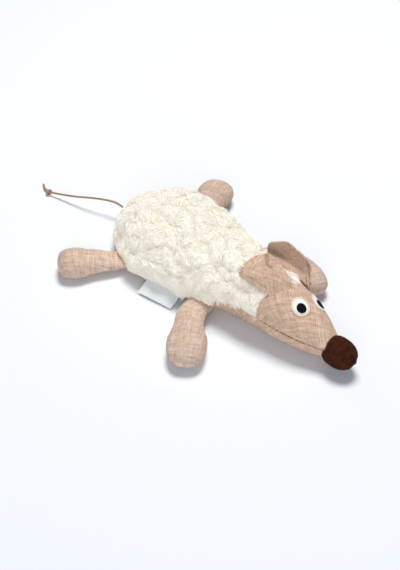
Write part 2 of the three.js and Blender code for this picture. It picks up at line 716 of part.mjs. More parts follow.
// How far from a knot's middle the cord meets it, on a flat a little wider than the cord
function knotFace(diameter) {
  return Math.sqrt(half(diameter) ** 2 - (half(CORD_DIAMETER) + GAP) ** 2);
}
function tailMeshes() {
  const knotAt = new THREE.Vector3(...KNOT_AT);
  const innerKnot = new THREE.Vector3(INNER_KNOT_DEPTH, 0, TAIL_HEIGHT);
  const back = new THREE.Vector3(-1, 0, 0);
  const arrival = knotAt.clone().sub(new THREE.Vector3(...TAIL_ROUTE.at(-1))).normalize();
  const leaving = new THREE.Vector3(...TAIL_TIP_ROUTE[0]).sub(knotAt).normalize();
  const face = knotFace(KNOT_DIAMETER) + GAP;
  const run = [
    cordEnd(innerKnot, back, knotFace(INNER_KNOT_DIAMETER) + GAP),
    new THREE.Vector3(0, 0, TAIL_HEIGHT),
    new THREE.Vector3(-FUR, 0, TAIL_HEIGHT),
    ...TAIL_ROUTE.map((p) => new THREE.Vector3(...p)),
    cordEnd(knotAt, arrival, -face - CORD_DIAMETER),
    cordEnd(knotAt, arrival, -face),
  ];
  const tip = [
    cordEnd(knotAt, leaving, face),
    cordEnd(knotAt, leaving, face + CORD_DIAMETER),
    ...TAIL_TIP_ROUTE.map((p) => new THREE.Vector3(...p)),
  ];
  return [
    piece("tail_inner_knot", knotSolid(innerKnot, INNER_KNOT_DIAMETER, [back]), cordTan),
    piece("tail_cord", cordSolid(run, TAIL_STEPS), cordTan),
    piece("tail_knot", knotSolid(knotAt, KNOT_DIAMETER, [arrival.clone().negate(), leaving]), cordTan),
    piece("tail_tip", cordSolid(tip, TIP_STEPS), cordTan),
  ];
}

function piece(name, made, material) {
  const mesh = new THREE.Mesh(geometryOf(made), material.clone());
  mesh.name = name;
  return mesh;
}

// The whole toy
const toy = new THREE.Group();
toy.add(piece("belly_panel", bellyPanel, canvas));
toy.add(piece("fur_back", furBack, fur));
toy.add(piece("head_panel", headPanel, canvas));
toy.add(piece("body_wadding", bodyWadding, wadding));
toy.add(piece("catnip_pouch", solid(pouch), herbCotton));
toy.add(piece("nose_cap", noseCap, plush));
toy.add(piece("nose_wadding", noseWadding, wadding));
for (const [name, side] of [["right", -1], ["left", 1]]) {
  const { border, white, pupil } = eyePieces(side);
  toy.add(piece(name + "_eye_border", border, creamThread));
  toy.add(piece(name + "_eye_white", white, whiteThread));
  toy.add(piece(name + "_eye_pupil", pupil, blackThread));
  toy.add(earGroup(name, side));
}
for (const leg of legs) toy.add(legGroup(leg));
toy.add(tagMesh());

// The origin is under the middle of the toy without its tail, on the floor.
toy.updateMatrixWorld(true);
const extent = new THREE.Box3().setFromObject(toy, true);
const middle = extent.getCenter(new THREE.Vector3());
toy.position.set(-middle.x, -middle.y, -extent.min.z);
toy.add(...tailMeshes());

export default toy;
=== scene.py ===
# %% [markdown]
# # A plush mouse for a cat
# The toy lies on its belly: a shaggy fur back, a canvas head and belly, two folded ears, four stuffed
# paddle legs, a plush nose, stitched eyes, a satin side tag and a knotted cord for a tail.
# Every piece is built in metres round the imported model, which is loaded first as a fixed frame.

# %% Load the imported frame
import json
import math

import bmesh
import bpy
from mathutils import Matrix, Vector


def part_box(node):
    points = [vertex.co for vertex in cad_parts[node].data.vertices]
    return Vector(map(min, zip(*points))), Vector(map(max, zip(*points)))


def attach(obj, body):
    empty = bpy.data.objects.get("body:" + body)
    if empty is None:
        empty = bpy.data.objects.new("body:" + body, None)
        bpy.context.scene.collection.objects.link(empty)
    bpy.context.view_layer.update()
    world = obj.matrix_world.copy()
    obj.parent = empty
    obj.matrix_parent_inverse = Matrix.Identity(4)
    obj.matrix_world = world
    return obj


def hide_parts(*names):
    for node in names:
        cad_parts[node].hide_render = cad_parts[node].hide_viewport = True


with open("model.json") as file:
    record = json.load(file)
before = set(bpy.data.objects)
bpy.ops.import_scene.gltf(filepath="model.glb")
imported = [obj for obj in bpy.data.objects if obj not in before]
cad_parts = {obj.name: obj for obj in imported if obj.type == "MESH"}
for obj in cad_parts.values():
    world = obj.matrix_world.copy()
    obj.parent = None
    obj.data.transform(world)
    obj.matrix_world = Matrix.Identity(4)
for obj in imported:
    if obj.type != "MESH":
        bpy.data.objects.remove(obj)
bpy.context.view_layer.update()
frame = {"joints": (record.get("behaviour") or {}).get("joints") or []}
MM = 0.001

# %% [markdown]
# ## Camera
# The photograph looks down at the toy by 38 degrees from its right front. A long lens from 0.9 m away
# keeps the perspective flat, as on a catalogue picture.

# %% Camera
LOOK_AT = Vector((-20.3, -7.7, 0)) * MM
DISTANCE = 0.9
LENS, SENSOR_WIDTH = 79.6, 36
AZIMUTH, ELEVATION = math.radians(48.5), math.radians(38)
towards = Vector((math.sin(AZIMUTH) * math.cos(ELEVATION), -math.cos(AZIMUTH) * math.cos(ELEVATION),
                  math.sin(ELEVATION)))
bpy.ops.object.camera_add(location=LOOK_AT + DISTANCE * towards)
camera = bpy.context.object
camera.rotation_euler = towards.to_track_quat("Z", "Y").to_euler()
camera.data.lens, camera.data.sensor_width = LENS, SENSOR_WIDTH
bpy.context.scene.camera = camera
print("camera at", [round(v, 3) for v in camera.location])

# %% [markdown]
# ## The tail cord
# A thin waxed cord leaves the rump seam, sinks to the floor and ends in a small knot with a short end
# past it. Its route is the same as in the solids. It is one smooth curve with a round bevel.

# %% Where the toy's own lengths start
HEAD_END = 214.5
head_low, head_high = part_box("head_panel")
RUMP_X = head_high.x - HEAD_END * MM
MID_Y = (head_low.y + head_high.y) / 2


def place(s, y, z):
    """A point given in millimetres from the rump, from the middle and from the floor."""
    return Vector((RUMP_X + s * MM, MID_Y + y * MM, z * MM))


print("rump at x", round(RUMP_X, 4), "middle at y", round(MID_Y, 4))

# %% The tail cord and its short end
CORD_WIDTH = 1.6
TAIL_ROUTE = [(-1, 0, 12), (-5, 0, 12), (-11, -1.2, 13), (-22, -5.5, 12.4), (-33, -10, 10.4), (-44, -14, 7.6),
              (-55, -17.2, 5), (-63, -19.6, 3.4), (-67.8, -21.3, 2.8)]
TIP_ROUTE = [(-71.8, -21.7, 2.2), (-73.6, -21.4, 1.9), (-77, -20.6, 1.3), (-83.5, -17.6, 1)]


def round_cord(name, points, width):
    """A smooth round cord of the given width in millimetres, through points in metres."""
    curve = bpy.data.curves.new(name, "CURVE")
    curve.dimensions = "3D"
    line = curve.splines.new("BEZIER")
    line.bezier_points.add(len(points) - 1)
    for point, at in zip(line.bezier_points, points):
        point.co = at
        point.handle_left_type = point.handle_right_type = "AUTO"
    curve.bevel_depth = width / 2 * MM
    curve.bevel_resolution = 3
    curve.use_fill_caps = True
    cord = bpy.data.objects.new(name, curve)
    bpy.context.collection.objects.link(cord)
    return cord


tail = round_cord("tail_string", [place(*at) for at in TAIL_ROUTE], CORD_WIDTH)
tail_end = round_cord("tail_string_end", [place(*at) for at in TIP_ROUTE], CORD_WIDTH)
tail.data.resolution_u = tail_end.data.resolution_u = 8

# %% [markdown]
# ## Floor and light
# A plain white floor, one large soft lamp behind the toy for the shadow that
# falls towards the camera, a broad fill from the camera's side, and an even pale sky.

# %% Floor, sky and lamps
bpy.ops.mesh.primitive_plane_add(size=6, location=(0, 0, -0.0002))
floor = bpy.context.object
floor.name = "floor"
floor_finish = bpy.data.materials.new("floor_white")
floor_finish.use_nodes = True
floor_shader = floor_finish.node_tree.nodes["Principled BSDF"]
floor_shader.inputs["Base Color"].default_value = (0.86, 0.88, 0.93, 1)
floor_shader.inputs["Roughness"].default_value = 0.9
floor_shader.inputs["Specular IOR Level"].default_value = 0.1
seen = floor_finish.node_tree.nodes.new("ShaderNodeLightPath")
floor_shader.inputs["Emission Color"].default_value = (1, 1, 1, 1)
lifted = floor_finish.node_tree.nodes.new("ShaderNodeMath")
lifted.operation = "MULTIPLY"
lifted.inputs[1].default_value = 0.02
floor_finish.node_tree.links.new(seen.outputs["Is Camera Ray"], lifted.inputs[0])
floor_finish.node_tree.links.new(lifted.outputs[0], floor_shader.inputs["Emission Strength"])
floor.data.materials.append(floor_finish)

sky = bpy.data.worlds.new("studio_sky")
sky.use_nodes = True
sky.node_tree.nodes["Background"].inputs["Color"].default_value = (0.82, 0.9, 1, 1)
sky.node_tree.nodes["Background"].inputs["Strength"].default_value = 0.17
bpy.context.scene.world = sky


def lamp(name, at, size, power, colour):
    bpy.ops.object.light_add(type="AREA", location=at)
    light = bpy.context.object
    light.name = name
    light.data.shape = "DISK"
    light.data.size = size
    light.data.energy = power
    light.data.color = colour
    light.rotation_euler = (LOOK_AT - Vector(at)).to_track_quat("-Z", "Y").to_euler()


lamp("key_from_above", (-0.3, 0.38, 1.5), 0.7, 22, (1, 0.985, 0.965))
lamp("fill_from_camera", (1.15, -1.25, 0.75), 1.3, 15.5, (0.94, 0.97, 1))
bpy.context.scene.view_settings.view_transform = "Standard"

# %% [markdown]
# ## Small helpers
# An operator works on whatever is selected, so each step first selects just what it means to shape.
# These helpers pick one object, pick some of its faces or points by their place, and apply a modifier.

# %% Helpers for selecting and applying
def only(*pieces):
    bpy.ops.object.select_all(action="DESELECT")
    for piece in pieces:
        piece.select_set(True)
    bpy.context.view_layer.objects.active = pieces[0]


def new_piece(name):
    piece = bpy.context.object
    piece.name = piece.data.name = name
    return piece


def edit(piece, kind):
    only(piece)
    bpy.ops.object.mode_set(mode="EDIT")
    bpy.ops.mesh.select_mode(type=kind)


def edit_all(piece, kind):
    edit(piece, kind)
    bpy.ops.mesh.select_all(action="SELECT")


def done():
    bpy.ops.object.mode_set(mode="OBJECT")


def pick(piece, kind, wanted):
    """Selects the faces, edges or points of a piece in edit mode whose middle passes the test."""
    mesh = bmesh.from_edit_mesh(piece.data)
    parts = {"FACE": mesh.faces, "EDGE": mesh.edges, "VERT": mesh.verts}[kind]
    for part in parts:
        if kind == "FACE":
            part.select_set(wanted(part.calc_center_median()))
        elif kind == "EDGE":
            part.select_set(wanted(part.verts[0].co) and wanted(part.verts[1].co))
        else:
            part.select_set(wanted(part.co))
    mesh.select_flush_mode()
    bmesh.update_edit_mesh(piece.data)


def apply_modifier(piece, kind, **settings):
    only(piece)
    modifier = piece.modifiers.new(kind.lower(), kind)
    for key, value in settings.items():
        setattr(modifier, key, value)
    bpy.ops.object.modifier_apply(modifier=modifier.name)


def rounded(piece, levels=1):
    apply_modifier(piece, "SUBSURF", levels=levels, render_levels=levels)


def smooth(piece):
    only(piece)
    bpy.ops.object.shade_smooth()


def copy_of(piece, name):
    only(piece)
    bpy.ops.object.duplicate()
    return new_piece(name)


def settle(piece):
    only(piece)
    bpy.ops.object.transform_apply(location=True, rotation=True, scale=True)


def face_about(piece):
    """Turns all faces of a piece the other way round."""
    edit_all(piece, "FACE")
    bpy.ops.mesh.flip_normals()
    done()


def noise_texture(name, scale, depth=1):
    texture = bpy.data.textures.new(name, "CLOUDS")
    texture.noise_scale = scale
    texture.noise_depth = depth
    return texture


print("helpers ready")

# %% [markdown]
# ## A sewn tube
# Body, head and legs are all tubes of cloth. A circle is added at one end, extruded ring by ring, and
# the upper and lower half of each new ring are scaled to their own heights, so that the widest line of
# the ring stays on the seam. The cloth's threads follow a UV map in real metres.

# %% A tube of cloth made from one circle
def newest_ring(piece, sides, wanted):
    mesh = bmesh.from_edit_mesh(piece.data)
    mesh.verts.ensure_lookup_table()
    for vert in mesh.verts:
        vert.select_set(False)
    for vert in mesh.verts[-sides:]:
        vert.select_set(wanted(vert.co))
    mesh.select_flush_mode()
    bmesh.update_edit_mesh(piece.data)


def sewn_tube(name, rings, sides):
    """Each ring is x, y, z, half width, height above z and depth below z."""
    x, y, z = rings[0][:3]
    bpy.ops.object.select_all(action="DESELECT")
    bpy.ops.mesh.primitive_circle_add(vertices=sides, radius=1, location=(x, y, z), rotation=(0, math.pi / 2, 0))
    piece = new_piece(name)
    settle(piece)
    edit_all(piece, "VERT")
    last = (x, y, z, 1, 1, 1)
    for i, ring in enumerate(rings):
        x, y, z, wide, up, down = ring
        middle = Vector((x, y, z))
        newest_ring(piece, sides, lambda co: True)
        if i:
            step = middle - Vector(last[:3])
            bpy.ops.mesh.extrude_region_move(TRANSFORM_OT_translate={"value": step})
        bpy.ops.transform.resize(value=(1, wide / last[3], 1), center_override=middle)
        newest_ring(piece, sides, lambda co: co.z > z + 1e-6)
        bpy.ops.transform.resize(value=(1, 1, up / last[4]), center_override=middle)
        newest_ring(piece, sides, lambda co: co.z < z - 1e-6)
        bpy.ops.transform.resize(value=(1, 1, down / last[5]), center_override=middle)
        last = ring
    bpy.ops.mesh.select_all(action="SELECT")
    bpy.ops.mesh.normals_make_consistent(inside=False)
    done()
    weave_map(piece, sides)
    middle = Vector(rings[len(rings) // 2][:3])
    nearest = min(piece.data.polygons, key=lambda face: (face.center - middle).length)
    if nearest.normal.dot(nearest.center - middle) < 0:
        face_about(piece)
    return piece


def weave_map(piece, sides):
    """UVs in metres: along the tube, and round it from its top."""
    mesh = piece.data
    threads = mesh.uv_layers.new(name="weave")
    spot = {}
    for start in range(0, len(mesh.vertices), sides):
        ring = [v.co for v in mesh.vertices[start:start + sides]]
        middle = sum(ring, Vector()) / sides
        girth = sum((a - b).length for a, b in zip(ring, ring[1:] + ring[:1]))
        for i, co in enumerate(ring):
            turn = math.atan2(co.y - middle.y, co.z - middle.z)
            spot[start + i] = (co.x, turn, girth / (2 * math.pi))
    for face in mesh.polygons:
        turns = [spot[v][1] for v in face.vertices]
        crosses = max(turns) - min(turns) > math.pi
        for loop, v in zip(face.loop_indices, face.vertices):
            x, turn, radius = spot[v]
            if crosses and turn < 0:
                turn += 2 * math.pi
            threads.data[loop].uv = (x, turn * radius)


def close_end(piece, wanted):
    """Closes an open end with a fan of faces."""
    edit(piece, "EDGE")
    pick(piece, "EDGE", wanted)
    bpy.ops.mesh.edge_face_add()
    bpy.ops.mesh.poke()
    done()


print("tube ready")

# %% [markdown]
# ## The measured lines of the toy
# Width, top, side seam and underside were read off the photograph once and drawn as smooth lines along
# the toy. Body, head, fur and eyes all take their place from these four lines.

# %% Smooth lines
def smooth_line(points):
    """A line through (place, value) pairs that never swings past them."""
    last = len(points) - 1
    rise = [(b[1] - a[1]) / (b[0] - a[0]) for a, b in zip(points, points[1:])]
    slope = [rise[0]]
    for i in range(1, last):
        a, b = rise[i - 1], rise[i]
        slope.append(2 * a * b / (a + b) if a * b > 0 else 0)
    slope.append(rise[-1])

    def at(x):
        x = min(max(x, points[0][0]), points[last][0])
        i = 0
        while i < last - 1 and x > points[i + 1][0]:
            i += 1
        (x0, y0), (x1, y1) = points[i], points[i + 1]
        t = (x - x0) / (x1 - x0)
        ends = slope[i] * t * (1 - t) ** 2 - slope[i + 1] * t * t * (1 - t)
        return y0 + (y1 - y0) * t * t * (3 - 2 * t) + (x1 - x0) * ends

    return at


def lerp(a, b, t):
    return a + (b - a) * t


def smoothstep(x, start, end):
    t = min(max((x - start) / (end - start), 0), 1)
    return t * t * (3 - 2 * t)


print("midway:", round(smooth_line([(0, 0), (1, 1), (2, 0)])(0.5), 3))

# %% Width, top, seam, underside and neck
NECK, NECK_TOP = 178, 44.5
NECK_LEAN, NECK_TALL = 10.5, 24.5
WIDEST_AT, WIDEST_HALF = 60, 39
RUMP_ROUNDNESS = 1.55
taper = smooth_line([(WIDEST_AT, WIDEST_HALF), (lerp(WIDEST_AT, NECK, 0.33), lerp(43, 78, 0.6) / 2),
                     (lerp(WIDEST_AT, NECK, 0.62), lerp(43, 78, 0.17) / 2), (NECK, 21.5),
                     (NECK + 18.25, lerp(43, 19, 0.35) / 2), (HEAD_END, 9.5)])
top_height = smooth_line([(0, 14), (0.12 * NECK, lerp(14, 44, 0.62)), (0.34 * NECK, 44), (0.8 * NECK, 41),
                          (NECK, NECK_TOP), (NECK + 18.25, lerp(22, NECK_TOP, 0.6)), (HEAD_END, 22)])
seam_height = smooth_line([(0, 12), (44.5, 6.5), (106.8, 6.5), (167.5, 20), (HEAD_END, 16)])
underside = smooth_line([(0, 6), (0.14 * NECK, -0.5), (0.8 * NECK, -0.5), (NECK + 0.3 * 36.5, 1.5), (HEAD_END, 5)])


def half_width(s):
    if s >= WIDEST_AT:
        return taper(s)
    egg = (1 - (1 - max(s, 0) / WIDEST_AT) ** RUMP_ROUNDNESS) ** (1 / RUMP_ROUNDNESS)
    return WIDEST_HALF * max(egg, 0.06)


def skin_point(s, turn, grow=0.0):
    """A point of the skin at turn radians from the far side seam over the top, in part metres."""
    lift, middle = math.sin(turn), seam_height(s)
    tall = top_height(s) + grow - middle if lift > 0 else middle - underside(s) + grow
    return place(s, math.cos(turn) * (half_width(s) + grow), middle + lift * max(tall, 0.4))


def s_of(x):
    return (x - RUMP_X) / MM


def radians_of(point):
    """How far a point of the skin lies round it, from the far side seam over the top."""
    s = s_of(point.x)
    up = point.z / MM - seam_height(s)
    tall = top_height(s) - seam_height(s) if up > 0 else seam_height(s) - underside(s)
    return math.atan2(up / max(tall, 0.4), (point.y - MID_Y) / MM / half_width(s))


def turn_of(point):
    return math.degrees(radians_of(point))


slimming = smooth_line([(168, 0), (180, 3.4), (188, 4.2), (199, 3.0), (HEAD_END, 2.4)])


def slimmed(point):
    """The head lies heavier on its near side: its far side is up to 4 mm slimmer."""
    turn = radians_of(point)
    slim = slimming(s_of(point.x)) * smoothstep(math.cos(turn), -0.25, 0.5)
    return point - Vector((0, math.cos(turn), 0.55 * math.sin(turn))) * slim * MM


def neck_seam(z):
    return NECK + NECK_LEAN * (z - NECK_TOP) / NECK_TALL


neck_turns = smooth_line([(0, 179), (11, 178), (28, 174.8), (43, 170.2), (58, 167.8), (70, 167.2), (90, 167.5)])


def behind_neck(point):
    """Millimetres from a point of the fur forwards to the rounded neck seam."""
    return neck_turns(abs(turn_of(point) - 90)) - s_of(point.x)


side_edge = smooth_line([(92, 0), (112, 2), (125, 4.6), (140, 6), (156, 5), (167, 0)])


def seam_raised(point):
    """Behind the head the belly cloth reaches higher up the side than the widest line."""
    s, turn = s_of(point.x), turn_of(point)
    if not 92 < s < 167:
        return point
    far = abs(turn) < 90
    above = turn if far else math.copysign(180, turn) - turn
    lift = math.degrees(side_edge(s) / (top_height(s) - seam_height(s)))
    above += lift * (1 - smoothstep(abs(above), 0, 60))
    return skin_point(s, math.radians(above if far else 180 - above))


def on_neck_line(point, lap=0.0):
    """Moves a point near the straight cut so that the cut follows the rounded neck seam."""
    s, turn = s_of(point.x), turn_of(point)
    shift = neck_turns(abs(turn - 90)) - lap - neck_seam(point.z / MM)
    fade = 1 - smoothstep(abs(s - neck_seam(point.z / MM)), 0, 26)
    return skin_point(s + shift * fade, math.radians(turn)) if turn > 0 else point


print("widest", round(2 * half_width(WIDEST_AT), 1), "mm, brow", round(top_height(NECK), 1), "mm")

# %% [markdown]
# ## Finishes
# The toy is linen canvas, satin ribbon, embroidery thread, plush, wool and a waxed cord. Each finish is a
# Principled shader. Woven cloth, stitched thread and loose fibre are each one node group, used again with
# other values: canvas, satin and cotton are all woven cloth, so one group keeps their threads alike.

# %% Tools for wiring nodes
def node(tree, kind, inputs=None, **settings):
    made = tree.nodes.new(kind)
    for key, value in settings.items():
        setattr(made, key, value)
    for key, value in (inputs or {}).items():
        if isinstance(value, bpy.types.NodeSocket):
            tree.links.new(value, made.inputs[key])
        else:
            made.inputs[key].default_value = value
    return made


def maths(tree, operation, a, b=0.0):
    return node(tree, "ShaderNodeMath", {0: a, 1: b}, operation=operation).outputs[0]


def blend_colour(tree, share, first, second, kind="MIX"):
    mix = tree.nodes.new("ShaderNodeMix")
    mix.data_type = "RGBA"
    mix.blend_type = kind
    for index, value in ((0, share), (6, first), (7, second)):
        if isinstance(value, bpy.types.NodeSocket):
            tree.links.new(value, mix.inputs[index])
        else:
            mix.inputs[index].default_value = value
    return mix.outputs[2]


def group(name, inputs, outputs):
    tree = bpy.data.node_groups.new(name, "ShaderNodeTree")
    for label, kind in inputs:
        tree.interface.new_socket(label, in_out="INPUT", socket_type="NodeSocket" + kind)
    for label, kind in outputs:
        tree.interface.new_socket(label, in_out="OUTPUT", socket_type="NodeSocket" + kind)
    return tree, tree.nodes.new("NodeGroupInput").outputs, tree.nodes.new("NodeGroupOutput").inputs


def srgb(red, green, blue):
    def linear(c):
        c /= 255
        return c / 12.92 if c <= 0.04045 else ((c + 0.055) / 1.055) ** 2.4
    return (linear(red), linear(green), linear(blue), 1)


print("canvas is", [round(c, 3) for c in srgb(211, 180, 155)])

# %% Woven cloth: threads over and under, each with its own tone
cloth_group, given, out = group("woven_cloth", [("Coordinates", "Vector"), ("Threads", "Float"), ("Light", "Color"),
                                                ("Dark", "Color"), ("Slubs", "Float")],
                                [("Color", "Color"), ("Height", "Float")])
t = cloth_group
drift = node(t, "ShaderNodeTexNoise", {"Vector": given["Coordinates"], "Scale": 70.0, "Detail": 1.0})
wander = node(t, "ShaderNodeVectorMath", {0: drift.outputs["Color"], "Scale": 0.0014}, operation="SCALE")
moved = node(t, "ShaderNodeVectorMath", {0: given["Coordinates"], 1: wander.outputs[0]}, operation="ADD")
counted = node(t, "ShaderNodeVectorMath", {0: moved.outputs[0], "Scale": given["Threads"]}, operation="SCALE")
axes = node(t, "ShaderNodeSeparateXYZ", {0: counted.outputs[0]})
along, across = axes.outputs[0], axes.outputs[1]


def thread_tone(index, run, shift):
    own = node(t, "ShaderNodeTexWhiteNoise", {"W": maths(t, "ADD", index, shift)}, noise_dimensions="1D")
    spot = node(t, "ShaderNodeCombineXYZ", {0: maths(t, "MULTIPLY", run, 0.075), 1: maths(t, "MULTIPLY", index, 0.6),
                                            2: shift})
    slub = node(t, "ShaderNodeTexNoise", {"Vector": spot.outputs[0], "Scale": 1.0, "Detail": 3.0})
    return maths(t, "ADD", maths(t, "MULTIPLY", own.outputs["Value"], 0.16),
                 maths(t, "MULTIPLY", slub.outputs["Fac"], 0.94))


def crown(value):
    centred = maths(t, "SUBTRACT", maths(t, "MULTIPLY", maths(t, "FRACT", value), 2.0), 1.0)
    return maths(t, "SUBTRACT", 1.0, maths(t, "MULTIPLY", centred, centred))


column, row = maths(t, "FLOOR", along), maths(t, "FLOOR", across)
on_top = maths(t, "PINGPONG", maths(t, "ADD", column, row), 1.0)
warp_tone, weft_tone = thread_tone(row, along, 0.0), thread_tone(column, across, 61.0)
seen_thread = maths(t, "ADD", 0.26, maths(t, "MULTIPLY", on_top, 0.48))
tone = node(t, "ShaderNodeMix", {0: seen_thread, 2: warp_tone, 3: weft_tone}).outputs[0]
crown_along, crown_across = crown(along), crown(across)
warp_height = maths(t, "MULTIPLY", crown_across, maths(t, "ADD", 0.55, maths(t, "MULTIPLY", crown_along, 0.45)))
weft_height = maths(t, "MULTIPLY", crown_along, maths(t, "ADD", 0.55, maths(t, "MULTIPLY", crown_across, 0.45)))
height = node(t, "ShaderNodeMix", {0: on_top, 2: warp_height, 3: weft_height}).outputs[0]
centred_tone = maths(t, "MULTIPLY", maths(t, "SUBTRACT", tone, 0.57), given["Slubs"])
share = node(t, "ShaderNodeClamp", {0: maths(t, "ADD", centred_tone, 0.5)}).outputs[0]
colour = blend_colour(t, share, given["Dark"], given["Light"])
gap_shade = maths(t, "ADD", 0.87, maths(t, "MULTIPLY", height, 0.18))
shaded = node(t, "ShaderNodeVectorMath", {0: colour, "Scale": gap_shade}, operation="SCALE")
t.links.new(shaded.outputs[0], out["Color"])
t.links.new(height, out["Height"])
print(cloth_group.name, "has", len(t.nodes), "nodes")

# %% Loose fibre: soft mottling with fine strands
fibre_group, given, out = group("loose_fibre", [("Coordinates", "Vector"), ("Scale", "Float"), ("Light", "Color"),
                                                ("Dark", "Color")], [("Color", "Color"), ("Height", "Float")])
t = fibre_group
coarse = node(t, "ShaderNodeTexNoise", {"Vector": given["Coordinates"], "Scale": given["Scale"], "Detail": 4.0})
finer = maths(t, "MULTIPLY", given["Scale"], 7.0)
fine = node(t, "ShaderNodeTexNoise", {"Vector": given["Coordinates"], "Scale": finer, "Detail": 3.0,
                                      "Distortion": 1.5})
both = maths(t, "ADD", maths(t, "MULTIPLY", coarse.outputs["Fac"], 0.6),
             maths(t, "MULTIPLY", fine.outputs["Fac"], 0.4))
steep = node(t, "ShaderNodeMapRange", {0: both, 1: 0.35, 2: 0.65}).outputs[0]
t.links.new(blend_colour(t, steep, given["Dark"], given["Light"]), out["Color"])
t.links.new(both, out["Height"])
print(fibre_group.name, "has", len(t.nodes), "nodes")

# %% Stitched thread: close parallel threads, straight or round a centre
stitch_group, given, out = group("stitched_thread", [("Position", "Float"), ("Light", "Color"), ("Dark", "Color")],
                                 [("Color", "Color"), ("Height", "Float")])
t = stitch_group
own = node(t, "ShaderNodeTexWhiteNoise", {"W": maths(t, "FLOOR", given["Position"])}, noise_dimensions="1D")
height = crown(given["Position"])
lit = maths(t, "ADD", maths(t, "MULTIPLY", height, 0.6), maths(t, "MULTIPLY", own.outputs["Value"], 0.4))
t.links.new(blend_colour(t, lit, given["Dark"], given["Light"]), out["Color"])
t.links.new(height, out["Height"])
print(stitch_group.name, "has", len(t.nodes), "nodes")


# %% Finishes made from the groups
def finish(name, roughness, sheen=0.0, specular=0.3):
    made = bpy.data.materials.new(name)
    made.use_nodes = True
    tree = made.node_tree
    shader = tree.nodes["Principled BSDF"]
    shader.inputs["Roughness"].default_value = roughness
    shader.inputs["Specular IOR Level"].default_value = specular
    shader.inputs["Sheen Weight"].default_value = sheen
    shader.inputs["Sheen Roughness"].default_value = 0.4
    return made, tree, shader


def bumped(tree, shader, height, distance):
    bump = node(tree, "ShaderNodeBump", {"Height": height, "Distance": distance})
    tree.links.new(bump.outputs[0], shader.inputs["Normal"])


def covered(tree, shader, thread, relief):
    """Gives a shader the colour and the relief that a thread group works out."""
    tree.links.new(thread.outputs["Color"], shader.inputs["Base Color"])
    bumped(tree, shader, thread.outputs["Height"], relief)


def woven(name, threads, light, dark, slubs, roughness, sheen=0.0, relief=0.00015, specular=0.2, bias=0.0):
    made, tree, shader = finish(name, roughness, sheen, specular)
    spot = node(tree, "ShaderNodeUVMap", uv_map="weave").outputs[0]
    laid = node(tree, "ShaderNodeVectorRotate", {"Vector": spot, "Angle": bias}, rotation_type="Z_AXIS").outputs[0]
    cloth = node(tree, "ShaderNodeGroup", {"Coordinates": laid, "Threads": threads, "Light": light, "Dark": dark,
                                           "Slubs": slubs}, node_tree=cloth_group)
    covered(tree, shader, cloth, relief)
    return made


def fibrous(name, scale, light, dark, roughness, sheen=0.0, relief=0.0004, specular=0.2):
    made, tree, shader = finish(name, roughness, sheen, specular)
    spot = node(tree, "ShaderNodeTexCoord").outputs["Object"]
    fibre = node(tree, "ShaderNodeGroup", {"Coordinates": spot, "Scale": scale, "Light": light, "Dark": dark},
                 node_tree=fibre_group)
    covered(tree, shader, fibre, relief)
    return made


canvas = woven("linen_canvas", 1450, srgb(253, 225, 201), srgb(196, 157, 129), 2.6, 0.9, 0.05, 0.00015, bias=0.65)
leg_canvas = woven("leg_canvas", 1450, srgb(248, 226, 209), srgb(194, 160, 138), 2.6, 0.9, 0.05, 0.00015, bias=0.1)
satin = woven("satin_ribbon", 2400, srgb(250, 253, 254), srgb(238, 243, 245), 0.8, 0.42, 0.2, 0.00004, 0.5)
cotton = woven("herb_cotton", 1500, srgb(196, 204, 166), srgb(160, 170, 128), 0.8, 0.95)
wadding = fibrous("white_wadding", 300, srgb(246, 246, 243), srgb(224, 225, 222), 1.0)
plush = fibrous("brown_plush", 330, srgb(110, 56, 30), srgb(50, 23, 11), 1.0, 0.1, 0.0005, 0.05)
backing = fibrous("wool_backing", 420, srgb(252, 249, 240), srgb(232, 223, 203), 1.0, 0.2, 0.0009)
# painted glow: the backing gives off a faint light in its own colour, standing in for light scattered through the
# fleece
glow = backing.node_tree.nodes["Principled BSDF"]
backing.node_tree.links.new(glow.inputs["Base Color"].links[0].from_socket, glow.inputs["Emission Color"])
glow.inputs["Emission Strength"].default_value = 0.09
print("woven and fibrous finishes ready")

# %% Wool, cord and stitching
wool_finish, tree, shader = finish("wool_locks", 1.0, 0.3, 0.1)
spot = node(tree, "ShaderNodeSeparateXYZ", {0: node(tree, "ShaderNodeUVMap", uv_map="weave").outputs[0]})
tone = node(tree, "ShaderNodeAttribute", attribute_name="lock_tone").outputs["Fac"]
at = node(tree, "ShaderNodeTexCoord").outputs["Object"]
patch = node(tree, "ShaderNodeTexNoise", {"Vector": at, "Scale": 90.0})
# painted shade: depth runs along each lock, and its colour goes from a darker cream at the root to white at the tip,
# for the shade deep in the pile
depth = node(tree, "ShaderNodeMapRange", {0: spot.outputs[1], 1: 0.0, 2: 0.6}).outputs[0]
shaded_root_to_tip = blend_colour(tree, depth, srgb(242, 235, 220), srgb(255, 252, 244))
cream = blend_colour(tree, maths(tree, "MULTIPLY", tone, 0.3), shaded_root_to_tip, srgb(247, 240, 226))
warm = blend_colour(tree, maths(tree, "MULTIPLY", patch.outputs["Fac"], 0.2), cream, srgb(242, 233, 216))
tree.links.new(warm, shader.inputs["Base Color"])
# painted glow: the wool gives off a faint light in its own colour, standing in for light scattered through the fleece
tree.links.new(warm, shader.inputs["Emission Color"])
shader.inputs["Emission Strength"].default_value = 0.16
shader.inputs["Subsurface Weight"].default_value = 0.15
shader.inputs["Subsurface Radius"].default_value = (1, 0.96, 0.88)
shader.inputs["Subsurface Scale"].default_value = 0.003

cord_finish, tree, shader = finish("waxed_cord", 0.55, 0.0, 0.4)
twist = node(tree, "ShaderNodeTexWave", {"Vector": node(tree, "ShaderNodeTexCoord").outputs["Object"], "Scale": 380.0,
                                         "Distortion": 2.0, "Detail": 2.0, "Detail Scale": 0.4},
             bands_direction="DIAGONAL")
tree.links.new(blend_colour(tree, twist.outputs["Fac"], srgb(140, 106, 78), srgb(190, 155, 122)),
               shader.inputs["Base Color"])
bumped(tree, shader, twist.outputs["Fac"], 0.0002)


